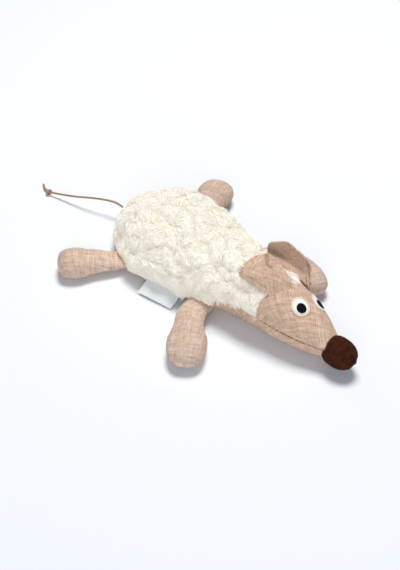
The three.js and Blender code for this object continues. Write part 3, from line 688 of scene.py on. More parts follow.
def stitched(name, count, light, dark, round_centre):
    made, tree, shader = finish(name, 0.7, 0.0, 0.12)
    spot = node(tree, "ShaderNodeSeparateXYZ", {0: node(tree, "ShaderNodeUVMap", uv_map="weave").outputs[0]})
    if round_centre:
        angle = maths(tree, "ARCTAN2", spot.outputs[1], spot.outputs[0])
        line = maths(tree, "MULTIPLY", angle, count / (2 * math.pi))
    else:
        line = maths(tree, "MULTIPLY", spot.outputs[1], count)
    thread = node(tree, "ShaderNodeGroup", {"Position": line, "Light": light, "Dark": dark}, node_tree=stitch_group)
    covered(tree, shader, thread, 0.00006)
    return made


ring_thread = stitched("cream_ring_thread", 96, srgb(248, 237, 217), srgb(233, 217, 190), True)
white_thread = stitched("white_field_thread", 2300, srgb(255, 255, 253), srgb(248, 249, 249), False)
black_thread = stitched("black_dot_thread", 2300, srgb(6, 8, 12), srgb(2, 2, 3), False)
print("all finishes:", [m.name for m in bpy.data.materials])

# %% [markdown]
# ## The cloth skin and its panels
# The real mouse is sewn from a canvas belly, a canvas head and a fur back, joined along the side seam and
# the neck seam. The whole skin is lofted once, and each panel is a copy of it with the rest cut away, so
# that the panels meet exactly. Their edges are rolled down and turned in, as a real seam is. Along the
# side the cut is moved up behind the head, and at the neck it is rounded, both as in the photograph.

# %% The whole skin
AROUND, ALONG, BUNCHING = 64, 44, 1.25
rings = []
for i in range(ALONG + 1):
    share = (1 - math.cos(math.pi * i / ALONG / BUNCHING)) / (1 - math.cos(math.pi / BUNCHING))
    s = share * HEAD_END
    middle = seam_height(s)
    x, y, z = place(s, 0, middle)
    rings.append((x, y, z, max(half_width(s), 0.6) * MM, max(top_height(s) - middle, 0.5) * MM,
                  max(middle - underside(s), 0.4) * MM))
skin = sewn_tube("cloth_skin", rings, AROUND)
close_end(skin, lambda co: co.x < RUMP_X + 1e-6)
print("skin:", len(skin.data.polygons), "faces")


# %% Cutting the panels
def keep_faces(piece, wanted):
    edit(piece, "FACE")
    pick(piece, "FACE", lambda c: not wanted(c))
    bpy.ops.mesh.delete(type="FACE")
    done()


def cut_at_neck(piece, keep_head):
    edit_all(piece, "VERT")
    slant = Vector((NECK_TALL, 0, -NECK_LEAN)).normalized()
    bpy.ops.mesh.bisect(plane_co=place(NECK, 0, NECK_TOP), plane_no=slant, clear_inner=keep_head,
                        clear_outer=not keep_head)
    done()


def pick_rim(piece, wanted):
    edit(piece, "EDGE")
    bpy.ops.mesh.select_all(action="DESELECT")
    mesh = bmesh.from_edit_mesh(piece.data)
    for line in mesh.edges:
        if line.is_boundary and all(wanted(v.co) for v in line.verts):
            line.select_set(True)
    bmesh.update_edit_mesh(piece.data)


def turned_edge(piece, depth, wanted=lambda co: True):
    """Rolls the open edge of a panel down and turns a narrow strip of it inwards, as in a turned seam."""
    pick_rim(piece, wanted)
    bpy.ops.transform.shrink_fatten(value=-depth)
    bpy.ops.mesh.extrude_region_move(TRANSFORM_OT_translate={"value": (0, 0, 0)})
    bpy.ops.transform.shrink_fatten(value=-0.0022)
    done()


above_seam = lambda c: c.z > seam_height(s_of(c.x)) * MM
belly = copy_of(skin, "belly_cloth")
keep_faces(belly, lambda c: not above_seam(c))
head = copy_of(skin, "head_cloth")
keep_faces(head, above_seam)
cut_at_neck(head, True)
fur_base = copy_of(skin, "fur_backing")
keep_faces(fur_base, above_seam)
cut_at_neck(fur_base, False)
for panel, lap in ((head, 2.4), (fur_base, 0.0)):
    for vert in panel.data.vertices:
        vert.co = on_neck_line(vert.co, lap)
for panel in (belly, fur_base):
    for vert in panel.data.vertices:
        vert.co = seam_raised(vert.co)
for panel in (belly, head, fur_base):
    for vert in panel.data.vertices:
        vert.co = slimmed(vert.co)
    panel.data.update()
SNOUT_X = RUMP_X + (HEAD_END - 0.5) * MM
for panel in (belly, head):
    rounded(panel, 1)
    turned_edge(panel, 0.0009, lambda co: co.x < SNOUT_X)
    pick_rim(panel, lambda co: co.x > SNOUT_X)
    bpy.ops.mesh.extrude_region_move(TRANSFORM_OT_translate={"value": (0.005, 0, 0)})
    bpy.ops.transform.resize(value=(1, 0.86, 0.86), center_override=place(HEAD_END + 5, -1, 13))
    done()
pick_rim(fur_base, lambda co: s_of(co.x) > 150)
bpy.ops.mesh.extrude_region_move(TRANSFORM_OT_translate={"value": (0.0022, 0, -0.0012)})
done()
pick_rim(fur_base, lambda co: s_of(co.x) < 150)
bpy.ops.mesh.extrude_region_move(TRANSFORM_OT_translate={"value": (0, 0, -0.0008)})
done()
for vert in fur_base.data.vertices:
    s = s_of(vert.co.x)
    low = 1 - smoothstep(vert.co.z / MM - seam_height(s), -1, 4)
    waves = 0.4 + 0.8 * math.sin(0.37 * s + 0.8) + 0.6 * math.sin(0.9 * s)
    vert.co.z -= low * waves * MM * smoothstep(165 - s, 0, 20)
fur_base.data.update()
for vert in fur_base.data.vertices:
    vert.co -= vert.normal * 1.9 * MM * smoothstep(-behind_neck(vert.co), -4.5, -1)
print("panels:", [(p.name, len(p.data.polygons)) for p in (belly, head, fur_base)])


# %% Thickness and soft creases for the canvas panels
def flat_below(piece, floor_height=0.0):
    edit(piece, "VERT")
    pick(piece, "VERT", lambda co: co.z < floor_height)
    bpy.ops.transform.resize(value=(1, 1, 0), center_override=(0, 0, floor_height))
    done()


def creased(piece, depth, size, name):
    apply_modifier(piece, "DISPLACE", texture=noise_texture(name, size, 2), strength=depth, mid_level=0.5,
                   texture_coords="LOCAL")


for vert in head.data.vertices:
    vert.co += vert.normal * 0.9 * MM * smoothstep(behind_neck(vert.co), -5, 1)
for panel, depth in ((belly, 0.0008), (head, 0.0006)):
    creased(panel, depth, 0.018, panel.name + "_creases")
    apply_modifier(panel, "SOLIDIFY", thickness=0.0013, offset=-1)
    rounded(panel, 1)
    smooth(panel)
flat_below(belly, 0.00005)
print("belly", len(belly.data.polygons), "head", len(head.data.polygons))

# %% [markdown]
# ## The paddle legs
# Each leg is a stuffed canvas paddle, narrow where it is sewn into the side seam and full at the toe. It
# is lofted straight, then laid along its bent middle line with a Curve modifier. A short cloth run with
# pressure puffs and wrinkles it a little, as stuffing does; how far it may move a point is capped.

# %% One straight paddle
FOOT_HALF, FOOT_THICK, NECK_HALF, ROOT = 14, 9, 9.75, 4
TOE_FROM = 0.7


def straight_leg(name, length, root_height):
    lie = FOOT_THICK - 0.5 - root_height
    width = smooth_line([(0, NECK_HALF), (0.35 * length, NECK_HALF + 0.6), (TOE_FROM * length, FOOT_HALF),
                         (length, FOOT_HALF)])
    thick = smooth_line([(0, ROOT), (0.35 * length, 0.8 * FOOT_THICK), (TOE_FROM * length, FOOT_THICK),
                         (length, FOOT_THICK)])

    def ring(x, wide, tall):
        z = root_height + lie * smoothstep(x, 0, 0.35 * length)
        return (x * MM, 0, z * MM, wide * MM, tall * MM, tall * MM)

    made = []
    for turn in (8, 25, 45, 68):
        turn = math.radians(turn)
        made.append(ring(-math.cos(turn) * ROOT, NECK_HALF, math.sin(turn) * ROOT))
    for i in range(15):
        x = TOE_FROM * length * i / 14
        made.append(ring(x, width(x), thick(x)))
    for turn in (12, 24, 36, 47, 57, 66, 74, 80, 85):
        turn = math.radians(turn)
        x = TOE_FROM * length + (1 - TOE_FROM) * length * math.sin(turn)
        made.append(ring(x, width(x) * math.cos(turn) ** 0.62, thick(x) * math.cos(turn) ** 0.7))
    leg = sewn_tube(name, made, 32)
    close_end(leg, lambda co: co.x < made[0][0] + 1e-6)
    close_end(leg, lambda co: co.x > made[-1][0] - 1e-6)
    for vert in leg.data.vertices:
        near_toe = smoothstep(vert.co.x / MM, 0.84 * length, length)
        vert.co.x += 0.3 * MM * near_toe * math.cos(vert.co.y / MM * 1.25)
        ankle = math.exp(-((vert.co.x / MM - 0.4 * length) / (0.16 * length)) ** 2)
        wrinkle = math.sin(vert.co.x / MM * 2.6 + 0.12 * vert.co.y / MM)
        vert.co.z += 0.28 * MM * ankle * wrinkle * (vert.co.z > 0.008)
    for loop in leg.data.loops:
        co = leg.data.vertices[loop.vertex_index].co
        drop = max(0, 2 * FOOT_THICK * MM - co.z) * smoothstep(co.x / MM, 0.55 * length, 0.85 * length)
        leg.data.uv_layers["weave"].data[loop.index].uv = (co.x + drop, co.y * 1.15)
    return leg


# %% Laying a paddle along its middle line
def middle_line(name, hinge, outwards, length, skew, bend):
    """The path on the floor that a leg's middle follows, starting 6 mm inside its root."""
    curve = bpy.data.curves.new(name, "CURVE")
    curve.dimensions = "3D"
    curve.twist_mode = "Z_UP"
    points = [(-6.0, 0.0), (0.0, 0.0)]
    steps = 60
    for i in range(1, steps + 1):
        heading = skew * smoothstep(i / steps, 0, bend)
        x, y = points[-1]
        points.append((x + math.cos(heading) * length / steps, y + math.sin(heading) * length / steps))
    points.append((x + 12 * math.cos(skew), y + 12 * math.sin(skew)))
    line = curve.splines.new("POLY")
    line.points.add(len(points) - 1)
    turn = math.atan2(outwards.y, outwards.x)
    for point, (x, y) in zip(line.points, points):
        at = Vector((x * math.cos(turn) - y * math.sin(turn), x * math.sin(turn) + y * math.cos(turn))) * MM
        point.co = (hinge.x + at.x, hinge.y + at.y, 0, 1)
    path = bpy.data.objects.new(name, curve)
    bpy.context.collection.objects.link(path)
    return path


EXTRA_CLOTH, CLOTH_FRAMES = 0.04, 20


def stuffed(piece, root, reach, cap):
    """One cloth run: a little too much cloth puffs out and wrinkles, its sewn root held.

    No point moves further than the cap in millimetres, and the ones near the root move less."""
    before = [vert.co.copy() for vert in piece.data.vertices]
    held = piece.vertex_groups.new(name="held")
    for vert in piece.data.vertices:
        hold = 1 - smoothstep((vert.co - root).length / MM, reach * 0.6, reach)
        if hold > 0:
            held.add([vert.index], hold, "REPLACE")
    only(piece)
    run = piece.modifiers.new("stuffing", "CLOTH")
    run.settings.quality = 4
    run.settings.mass = 0.2
    run.settings.tension_stiffness = run.settings.compression_stiffness = 20
    run.settings.bending_stiffness = 0.05
    run.settings.use_pressure = True
    run.settings.uniform_pressure_force = 4
    run.settings.shrink_min = -EXTRA_CLOTH
    run.settings.vertex_group_mass = "held"
    run.settings.effector_weights.gravity = 0
    run.point_cache.frame_start, run.point_cache.frame_end = 1, CLOTH_FRAMES
    for moment in range(1, CLOTH_FRAMES + 1):
        bpy.context.scene.frame_set(moment)
    bpy.ops.object.modifier_apply(modifier="stuffing")
    bpy.context.scene.frame_set(1)
    far = 0
    for vert, was in zip(piece.data.vertices, before):
        move = vert.co - was
        far = max(far, move.length)
        limit = cap * MM * smoothstep((was - root).length / MM, reach * 0.4, reach * 2)
        if move.length > limit:
            vert.co = was + move * (limit / move.length)
    piece.vertex_groups.clear()
    print(piece.name, "moved by up to", round(far / MM, 2), "mm before the cap")


joints = {joint["name"]: joint for joint in frame["joints"]}
legs = {}
FRONT_LENGTH, REAR_LENGTH = 66, 45.5
SEWN_REACH, MOST_MOVE = 24, 0.9
for name, length, spread, bend, side in (("right_front_leg", FRONT_LENGTH, 44, 0.35, -1),
                                         ("left_front_leg", FRONT_LENGTH, -14, 0.5, 1),
                                         ("right_rear_leg", REAR_LENGTH, 122, 0.35, -1),
                                         ("left_rear_leg", REAR_LENGTH, 120, 0.35, 1)):
    joint = joints[name + "_lift"]
    hinge, axis = Vector(joint["pos_m"]), Vector(joint["axis"])
    outwards = Vector((-axis.y, axis.x, 0)).normalized()
    skew = side * math.radians(spread) - math.atan2(outwards.y, outwards.x)
    leg = straight_leg(name + "_cloth", length, hinge.z / MM)
    edit_all(leg, "VERT")
    bpy.ops.transform.translate(value=(0.006, 0, 0))
    done()
    path = middle_line(name + "_line", hinge, outwards, length, skew, bend)
    apply_modifier(leg, "CURVE", object=path, deform_axis="POS_X")
    bpy.data.objects.remove(path)
    rounded(leg, 1)
    stuffed(leg, hinge, SEWN_REACH, MOST_MOVE)
    if name == "right_front_leg":
        for vert in leg.data.vertices:
            by_root = 1 - smoothstep((vert.co - hinge).length / MM, 0, 45)
            vert.co += Vector((0.8, 0.9, 0)) * MM * (1 + 1.1 * by_root)
    flat_below(leg)
    smooth(leg)
    legs[name] = leg
    low = [min(v.co[i] for v in leg.data.vertices) for i in range(3)]
    high = [max(v.co[i] for v in leg.data.vertices) for i in range(3)]
    cad_low, cad_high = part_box(name + "_sleeve")
    print(name, [round(v, 4) for v in low + high], [round(v, 4) for v in (*cad_low, *cad_high)])

# %% [markdown]
# ## The folded ears
# An ear is two layers of canvas sewn edge to edge and turned, standing on the neck seam. The near ear is
# folded down over its own lining, whose edge shows above the fold; the far ear stands up like a hood.
# Each layer is a grid laid through a few measured rows of points, then thickened away from its face.

# %% A surface through rows of points
def curve_point(points, t):
    """A point of the smooth curve through all the points, at t from 0 to 1."""
    p = t * (len(points) - 1)
    i = min(int(p), len(points) - 2)
    w = p - i
    p1, p2 = points[i], points[i + 1]
    p0 = points[i - 1] if i > 0 else 2 * points[0] - points[1]
    p3 = points[i + 2] if i + 2 < len(points) else 2 * points[-1] - points[-2]
    d0, d1, d2 = [max((a - b).length ** 0.5, 1e-5) for a, b in ((p0, p1), (p1, p2), (p2, p3))]
    t1 = ((p1 - p0) / d0 - (p2 - p0) / (d0 + d1) + (p2 - p1) / d1) * d1
    t2 = ((p2 - p1) / d1 - (p3 - p1) / (d1 + d2) + (p3 - p2) / d2) * d1
    return p1 + t1 * w + (3 * (p2 - p1) - 2 * t1 - t2) * w ** 2 + (2 * (p1 - p2) + t1 + t2) * w ** 3


LAYER_THICKNESS = 1.1
PATCH_CELLS, PATCH_WEAVE = (44, 34), (0.045, 0.034)


def cloth_patch(name, net, facing):
    """A sheet of cloth through a net of points in millimetres, its face turned to the given direction."""
    rows = [[Vector(p) * MM for p in row] for row in net]
    bpy.ops.object.select_all(action="DESELECT")
    bpy.ops.mesh.primitive_grid_add(x_subdivisions=PATCH_CELLS[0], y_subdivisions=PATCH_CELLS[1], size=2)
    patch = new_piece(name)
    columns = {}
    for vert in patch.data.vertices:
        v, u = (vert.co.x + 1) / 2, (vert.co.y + 1) / 2
        key = round(v, 5)
        if key not in columns:
            columns[key] = [curve_point([row[j] for row in rows], v) for j in range(len(rows[0]))]
        vert.co = curve_point(columns[key], u)
    weave = patch.data.uv_layers[0]
    weave.name = "weave"
    for loop in weave.data:
        loop.uv = (loop.uv[0] * PATCH_WEAVE[0], loop.uv[1] * PATCH_WEAVE[1])
    patch.data.update()
    if sum(face.normal.dot(Vector(facing)) for face in patch.data.polygons) < 0:
        face_about(patch)
    apply_modifier(patch, "SOLIDIFY", thickness=LAYER_THICKNESS * MM, offset=-1)
    rounded(patch, 1)
    smooth(patch)
    return patch


print("patch tool ready")

# %% Creases pressed into or raised from a piece along a line
def press_line(piece, path, depth, width):
    """Moves the surface in by depth (out if negative) along a line of points, all in millimetres."""
    path = [Vector(p) * MM for p in path]
    reach = width * MM
    normals = [v.normal.copy() for v in piece.data.vertices]
    for vert in piece.data.vertices:
        nearest = None
        for a, b in zip(path, path[1:]):
            along = b - a
            share = min(max((vert.co - a).dot(along) / along.length_squared, 0), 1)
            gap = (vert.co - a - along * share).length
            nearest = gap if nearest is None else min(nearest, gap)
        if nearest < reach:
            fade = (1 - (nearest / reach) ** 2) ** 2
            vert.co -= normals[vert.index] * depth * MM * fade
    piece.data.update()


NEAR_EAR = [
    [(56.7, -13.2, 38.2), (58.3, -11.3, 39.9), (60.1, -8.8, 41.6), (62, -4.9, 43.3), (63.8, -1.5, 44.3)],
    [(50.7, -14.8, 39.2), (52, -12.4, 42), (54.6, -9.4, 45), (57.3, -5.4, 48), (60.3, -0.8, 49.5)],
    [(43.7, -15.8, 40), (44.9, -13.3, 43.5), (48, -9.7, 47), (51.7, -4.9, 51), (53.9, 0.5, 53)],
    [(36.7, -16.4, 41), (38.1, -14.1, 44.8), (41.7, -9.5, 48), (46.7, -3.9, 51.5), (47.2, 1.2, 55.5)],
    [(29.8, -16.1, 41.5), (29.5, -13.6, 44), (33.9, -8.2, 47.5), (41, -3.7, 51), (39.6, 0.5, 57)],
    [(29.6, -15.9, 40.8), (29.2, -13.3, 43.2), (33.6, -7.9, 46.6), (40.6, -3.3, 50), (39.2, 0.7, 56.1)],
    [(30.4, -15.4, 39.6), (30.2, -12.7, 41.8), (34.4, -7.2, 44.6), (40.4, -2.6, 47.6), (38.6, 0.4, 53.6)]]
STRIP_EDGE = [(26.2, -14, 40.5), (23.3, -7.7, 43), (24.1, 2.5, 46), (29.2, 5.5, 49), (34.5, 2.6, 53.4)]
FAR_LINING = [
    [(65.4, 10, 43.5), (58.1, 8.4, 46), (52.6, 6.5, 47.5), (45.1, 6.5, 48.5), (38.3, 6.2, 50), (33.4, 5.5, 52)],
    [(62, 14.8, 45), (54.6, 14.7, 47.1), (47.6, 13.7, 48.1), (39.9, 13.3, 49.2), (34.8, 11.1, 51.5), (31.6, 6.6, 54)],
    [(58.7, 17.1, 50), (55.7, 16.6, 55), (48.9, 15.3, 57.5), (40.6, 15.1, 59.5), (36, 10.9, 59.5), (31.9, 7.4, 58)]]
FAR_BACK = [
    [(65.4, 10.6, 43), (64.9, 12.6, 41.6), (64, 14.8, 40.2), (62.9, 16.8, 38.8), (61.2, 18.8, 36.8)],
    [(64.5, 13.6, 46), (62, 16.6, 46), (57, 19.1, 46), (50, 20.4, 46.4), (42, 19.4, 47.5)],
    [(62, 16.6, 49), (58.5, 18.6, 51), (51, 18.9, 53.4), (43, 18.9, 55), (35.5, 13.9, 56)],
    [(59.2, 18, 50.6), (56, 17.6, 55.8), (49, 16.4, 58.8), (40.8, 16.1, 60.3), (32, 8.6, 59.2)]]
lining_back = Vector((-0.94, 0.835, -0.985))
near_lining = [[tuple(Vector(p) + lining_back * (1 + 0.25 * i)) for p in row] for i, row in enumerate(NEAR_EAR[:5])]
near_lining.append(STRIP_EDGE)
SEEN = (0.59, -0.52, 0.62)
NEAR_EAR[4] = [tuple(Vector(p) + 0.9 * Vector(SEEN)) for p in NEAR_EAR[4]]
NEAR_EAR[5] = [tuple(Vector(p) + 0.7 * Vector(SEEN)) for p in NEAR_EAR[5]]
ears = {"right": (cloth_patch("right_ear_cloth", NEAR_EAR, SEEN),
                  cloth_patch("right_ear_lining_cloth", near_lining, SEEN)),
        "left": (cloth_patch("left_ear_cloth", FAR_BACK, (0.1, 0.7, 0.7)),
                 cloth_patch("left_ear_lining_cloth", FAR_LINING, SEEN))}
near = ears["right"][0]
for pair in ears.values():
    for layer in pair:
        for vert in layer.data.vertices:
            at_base = smoothstep(s_of(vert.co.x), 168, 180)
            vert.co += Vector((2.0, 0, -1.6)) * MM * at_base
press_line(near, [(41.5, -4, 51.2), (45.5, -4.6, 51), (47.2, -6.2, 50)], 0.9, 1.3)
press_line(near, [(46, -4.6, 51.3), (51, -8, 47.6), (54.5, -10.6, 44.3), (57, -12.3, 39.8)], 0.7, 2.2)
press_line(near, [(39.2, -0.9, 56.2), (41.4, -3.4, 51.8)], 0.9, 1.1)
press_line(near, [(31.5, -14.4, 43.2), (38, -14.6, 43.8), (45, -13.6, 42.6), (52.4, -12.6, 41.2)], 0.45, 0.8)
press_line(ears["right"][1], [(28.6, -12.6, 42.4), (26.6, -7.2, 44), (27.6, 0.5, 46.6), (31, 3.4, 49.4)], 0.5, 0.9)
press_line(ears["left"][1], [(57.6, 15.4, 52.6), (49, 14, 55), (41, 13.6, 56.8), (36.4, 10.2, 57.2)], 0.4, 0.9)
print("ears:", [(len(layer.data.polygons), round(sum(f.area for f in layer.data.polygons) / 2 * 1e6))
                for pair in ears.values() for layer in pair])

# %% [markdown]
# ## The plush nose
# A short-piled plush bag gathered at its front and sewn over the snout. It starts as a ball, its back is
# cut flat against the head, and folds are pulled in where the gathering thread draws it together.

# %% Nose
NOSE_AT = place(222.1, -0.3, 13.1)
NOSE_RADIUS = 9.9 * MM
bpy.ops.object.select_all(action="DESELECT")
bpy.ops.mesh.primitive_uv_sphere_add(segments=72, ring_count=48, radius=NOSE_RADIUS, location=NOSE_AT,
                                     rotation=(0, math.pi / 2, 0))
nose = new_piece("nose_plush")
settle(nose)
for vert in nose.data.vertices:
    out = (vert.co - NOSE_AT) / NOSE_RADIUS
    side = math.hypot(out.y, out.z)
    if out.x < 0 and side > 0.02:
        full = (1 - min(abs(out.x), 0.999) ** 3.4) ** (1 / 3.4)
        out.y, out.z = out.y / side * full, out.z / side * full
    angle, turn = math.acos(min(max(out.x, -1), 1)), math.atan2(out.z, out.y)
    near_front = math.exp(-(angle / 0.85) ** 2)
    drawn = 0.16 * math.exp(-(angle / 0.2) ** 2)
    pleats = 0.05 * near_front * math.sin(min(angle * 2.5, 1.5)) * math.cos(5 * turn + 0.9 + 0.5 * math.sin(turn))
    out.x *= 1.24 if out.x > 0 else 1.0
    vert.co = NOSE_AT + out * NOSE_RADIUS * (1 - drawn - pleats)
edit_all(nose, "VERT")
bpy.ops.mesh.bisect(plane_co=place(213.4, 0, 0), plane_no=(1, 0, 0), clear_inner=True, use_fill=True)
done()
smooth(nose)
print("nose:", len(nose.data.polygons), "faces")

# %% [markdown]
# ## Hand stitches
# The side seam of the head and the far ear's base are closed by hand with dark thread. Each stitch that
# shows is a tiny stretched ball half sunk in the cloth, which is enough at its size; all are one piece.

# %% Dark hand stitches in the side seam and by the far ear
def stitch(at, along, length):
    bpy.ops.object.select_all(action="DESELECT")
    bpy.ops.mesh.primitive_uv_sphere_add(segments=10, ring_count=6, radius=0.2 * MM, location=at,
                                         rotation=along.to_track_quat("Z", "Y").to_euler(),
                                         scale=(1, 1, length / 0.4))
    made = new_piece("stitch")
    settle(made)
    return made


made = []
for s in (170.5, 174.5, 178.4, 184, 188.5, 190.6, 192.4, 194.5, 198.5, 203, 206.5):
    here, there = [slimmed(skin_point(s + step, math.radians(179), -0.1)) for step in (0, 0.8)]
    made.append(stitch(here, there - here, 1.7 if s < 186 or s > 196 else 1.0))
for t in (0.1, 0.5, 0.9):
    here = Vector((65.2, 9.6, 47.2)).lerp(Vector((66.6, 9.4, 43.2)), t) * MM
    made.append(stitch(here, Vector((1.4, -0.2, -4)), 1.9))
bpy.ops.object.select_all(action="DESELECT")
for piece in made:
    piece.select_set(True)
bpy.context.view_layer.objects.active = made[0]
bpy.ops.object.join()
stitches = new_piece("seam_stitches")
stitches.data.uv_layers[0].name = "weave"
smooth(stitches)
print("stitches:", len(made))

# %% [markdown]
# ## The stitched eyes
# Each eye is embroidered: a cream satin-stitch ring, a white field and a black pupil. Each is a disc cut
# from rings of faces, shrink-wrapped onto the head and raised by the thickness of its thread.

# %% Eyes
def eye_axes(side):
    turn = math.radians(54 if side > 0 else 112)
    at = slimmed(skin_point(NECK + (14.5 if side > 0 else 13.2), turn))
    ahead = (slimmed(skin_point(NECK + 16, turn)) - at).normalized()
    down = (slimmed(skin_point(NECK + 14, turn - side * 0.05)) - slimmed(skin_point(NECK + 14, turn))).normalized()
    out = ahead.cross(down).normalized()
    if out.z < 0:
        out.negate()
    return at, ahead, down, out


EYE_RADIUS, FIELD_RADIUS, PUPIL_RADIUS = 7, 5.4, 3.6


def eye_disc(name, centre, ahead, out, inner, outer, height):
    """A flat ring or disc with its edge rolled down, laid on the head."""
    bpy.ops.object.select_all(action="DESELECT")
    bpy.ops.mesh.primitive_circle_add(vertices=48, radius=outer * MM, fill_type="NGON")
    disc = new_piece(name)
    edit_all(disc, "FACE")
    bpy.ops.mesh.inset(thickness=0.35 * MM, depth=0)
    rest = outer - 0.35
    rings = max(1, round((rest - inner) / 0.9))
    for _ in range(rings):
        bpy.ops.mesh.inset(thickness=(rest - inner) / rings * MM * (1 if inner else 0.97), depth=0)
    if inner:
        bpy.ops.mesh.inset(thickness=0.3 * MM, depth=0)
        bpy.ops.mesh.delete(type="FACE")
    else:
        bpy.ops.mesh.poke()
    done()
    threads = disc.data.uv_layers[0] if disc.data.uv_layers else disc.data.uv_layers.new()
    threads.name = "weave"
    for loop in disc.data.loops:
        co = disc.data.vertices[loop.vertex_index].co
        threads.data[loop.index].uv = (co.x, co.y)
    frame_of = Matrix((ahead, out.cross(ahead), out)).transposed().to_4x4()
    disc.matrix_world = Matrix.Translation(centre + out * 3 * MM) @ frame_of
    settle(disc)
    apply_modifier(disc, "SHRINKWRAP", target=head, wrap_method="NEAREST_SURFACEPOINT", wrap_mode="ABOVE_SURFACE",
                   offset=0.15 * MM)
    apply_modifier(disc, "SOLIDIFY", thickness=height * MM, offset=1)
    rounded(disc, 1)
    smooth(disc)
    return disc


eyes = {}
for name, side in (("right", -1), ("left", 1)):
    at, ahead, down, out = eye_axes(side)
    pupil_at = at + ahead * 1.3 * MM + down * 0.4 * MM
    eyes[name] = (eye_disc(name + "_eye_ring", at, ahead, out, FIELD_RADIUS, EYE_RADIUS, 0.45),
                  eye_disc(name + "_eye_field", at, ahead, out, 0, FIELD_RADIUS, 0.5),
                  eye_disc(name + "_eye_dot", pupil_at, ahead, out, 0, PUPIL_RADIUS, 0.9))
print("eyes:", [piece.name for trio in eyes.values() for piece in trio])

# %% [markdown]
# ## The side tag
# A folded loop of thin satin ribbon whose two ends are caught in the side seam. It droops a little.

# %% Side tag
TAG_S, TAG_WIDTH, TAG_REACH, TAG_DROOP = 86, 30, 12.5, math.radians(24)
rise = (half_width(TAG_S + 1) - half_width(TAG_S - 1)) / 2
tag_out = Vector((-rise, -1, 0)).normalized()
tag_along = Vector((tag_out.y, -tag_out.x, 0))
tag_at = place(TAG_S, -half_width(TAG_S), seam_height(TAG_S)) + tag_out * 0.8 * MM
tag_down = (tag_out * math.cos(TAG_DROOP) + Vector((0, 0, -1)) * math.sin(TAG_DROOP)).normalized()
tag_up = tag_along.cross(tag_down).normalized()
if tag_up.z < 0:
    tag_up.negate()
bpy.ops.object.select_all(action="DESELECT")
bpy.ops.mesh.primitive_grid_add(x_subdivisions=30, y_subdivisions=16, size=2)
tag = new_piece("satin_tag")
for vert in tag.data.vertices:
    t, w = vert.co.x, vert.co.y
    reach = TAG_REACH * min(1, (1 - abs(t)) / 0.92)
    gap = 0.4 * math.copysign(1, t) * min(1, abs(t) / 0.08) if t else 0
    wave = 0.35 * math.sin(2.2 * w + 0.6) * reach / TAG_REACH
    vert.co = tag_at + (tag_down * reach + tag_along * w * TAG_WIDTH / 2 + tag_up * (gap + wave)) * MM
tag.data.uv_layers[0].name = "weave"
for loop in tag.data.uv_layers[0].data:
    loop.uv = (loop.uv[0] * 0.025, loop.uv[1] * 0.030)
apply_modifier(tag, "SOLIDIFY", thickness=0.3 * MM, offset=0)
rounded(tag, 1)
smooth(tag)
print("tag faces:", len(tag.data.polygons))

# %% [markdown]
# ## The knots of the tail
# The cord is held inside by one overhand knot and ends in another. An overhand knot is one short curve
# that goes once round itself, made a mesh so that it can be a solid little lump.

# %% Overhand knots
def overhand(name, centre, along, size, width):
    along = along.normalized()
    across = along.cross(Vector((0, 0, 1))).normalized()
    up = across.cross(along).normalized()
    points = []
    for i in range(25):
        t = i / 24
        a = 2 * math.pi * (t * 1.5 - 0.25)
        wide = math.sin(math.pi * t) ** 0.6
        local = Vector((math.cos(2 * a) * 0.18 + (t - 0.5) * 0.75, math.sin(a) * 0.5 * wide,
                        math.cos(a) * 0.5 * wide))
        points.append(centre + (along * local.x + across * local.y + up * local.z) * (size - width) * MM)
    knot = round_cord(name, points, width)
    only(knot)
    bpy.ops.object.convert(target="MESH")
    knot = new_piece(name)
    smooth(knot)
    return knot


KNOT_AT = place(-70, -22, 2.5)
tail_knot = overhand("tail_knot_cord", KNOT_AT, Vector((-0.75, -0.2, -0.15)), 5.2, 1.7)
inner_knot = overhand("inner_knot_cord", place(7, 0, 12), Vector((1, 0, 0)), 6.0, 1.7)
print("knots:", len(tail_knot.data.polygons), len(inner_knot.data.polygons))

# %% [markdown]
# ## Stuffing
# Loose polyester wadding fills body, legs and nose, and a small cotton pouch of dried herb lies in the
# belly. None of it shows, but each is its own piece: a copy of its cover, drawn in by the cloth's
# thickness and roughened with tufts.

# %% Fillings
def filling(cover, name, inset):
    stuffing = copy_of(cover, name)
    edit_all(stuffing, "VERT")
    bpy.ops.transform.shrink_fatten(value=-inset * MM)
    done()
    apply_modifier(stuffing, "DISPLACE", texture=noise_texture(name + "_tufts", 0.006, 3), strength=0.0008,
                   mid_level=1.0, texture_coords="LOCAL")
    smooth(stuffing)
    return stuffing


whole = copy_of(skin, "skin_closed")
close_end(whole, lambda co: co.x > RUMP_X + (HEAD_END - 0.01) * MM)
for vert in whole.data.vertices:
    vert.co = slimmed(vert.co)
rounded(whole, 1)
fillings = {"torso": filling(whole, "body_stuffing", 1.9)}
bpy.data.objects.remove(whole)
for name, leg in legs.items():
    fillings[name] = filling(leg, name + "_stuffing", 1.9)
fillings["nose"] = filling(nose, "nose_stuffing", 2.9)
for stuffing in fillings.values():
    flat_below(stuffing, 0.0019)
print("fillings:", [p.name for p in fillings.values()])

# %% Herb pouch
bpy.ops.object.select_all(action="DESELECT")
bpy.ops.mesh.primitive_uv_sphere_add(segments=32, ring_count=16, radius=1, location=place(72, 0, 8.1),
                                     scale=(0.0205, 0.0135, 0.0058))
pouch = new_piece("herb_pouch")
settle(pouch)
pouch.data.uv_layers[0].name = "weave"
for loop in pouch.data.loops:
    co = pouch.data.vertices[loop.vertex_index].co
    pouch.data.uv_layers[0].data[loop.index].uv = (co.x, co.y)
edit(pouch, "FACE")
pick(pouch, "FACE", lambda c: abs(c.z - place(0, 0, 8.1).z) < 0.0013)
bpy.ops.mesh.extrude_region_shrink_fatten(TRANSFORM_OT_shrink_fatten={"value": 0.0012})
done()
rounded(pouch, 1)
smooth(pouch)
print("pouch faces:", len(pouch.data.polygons))

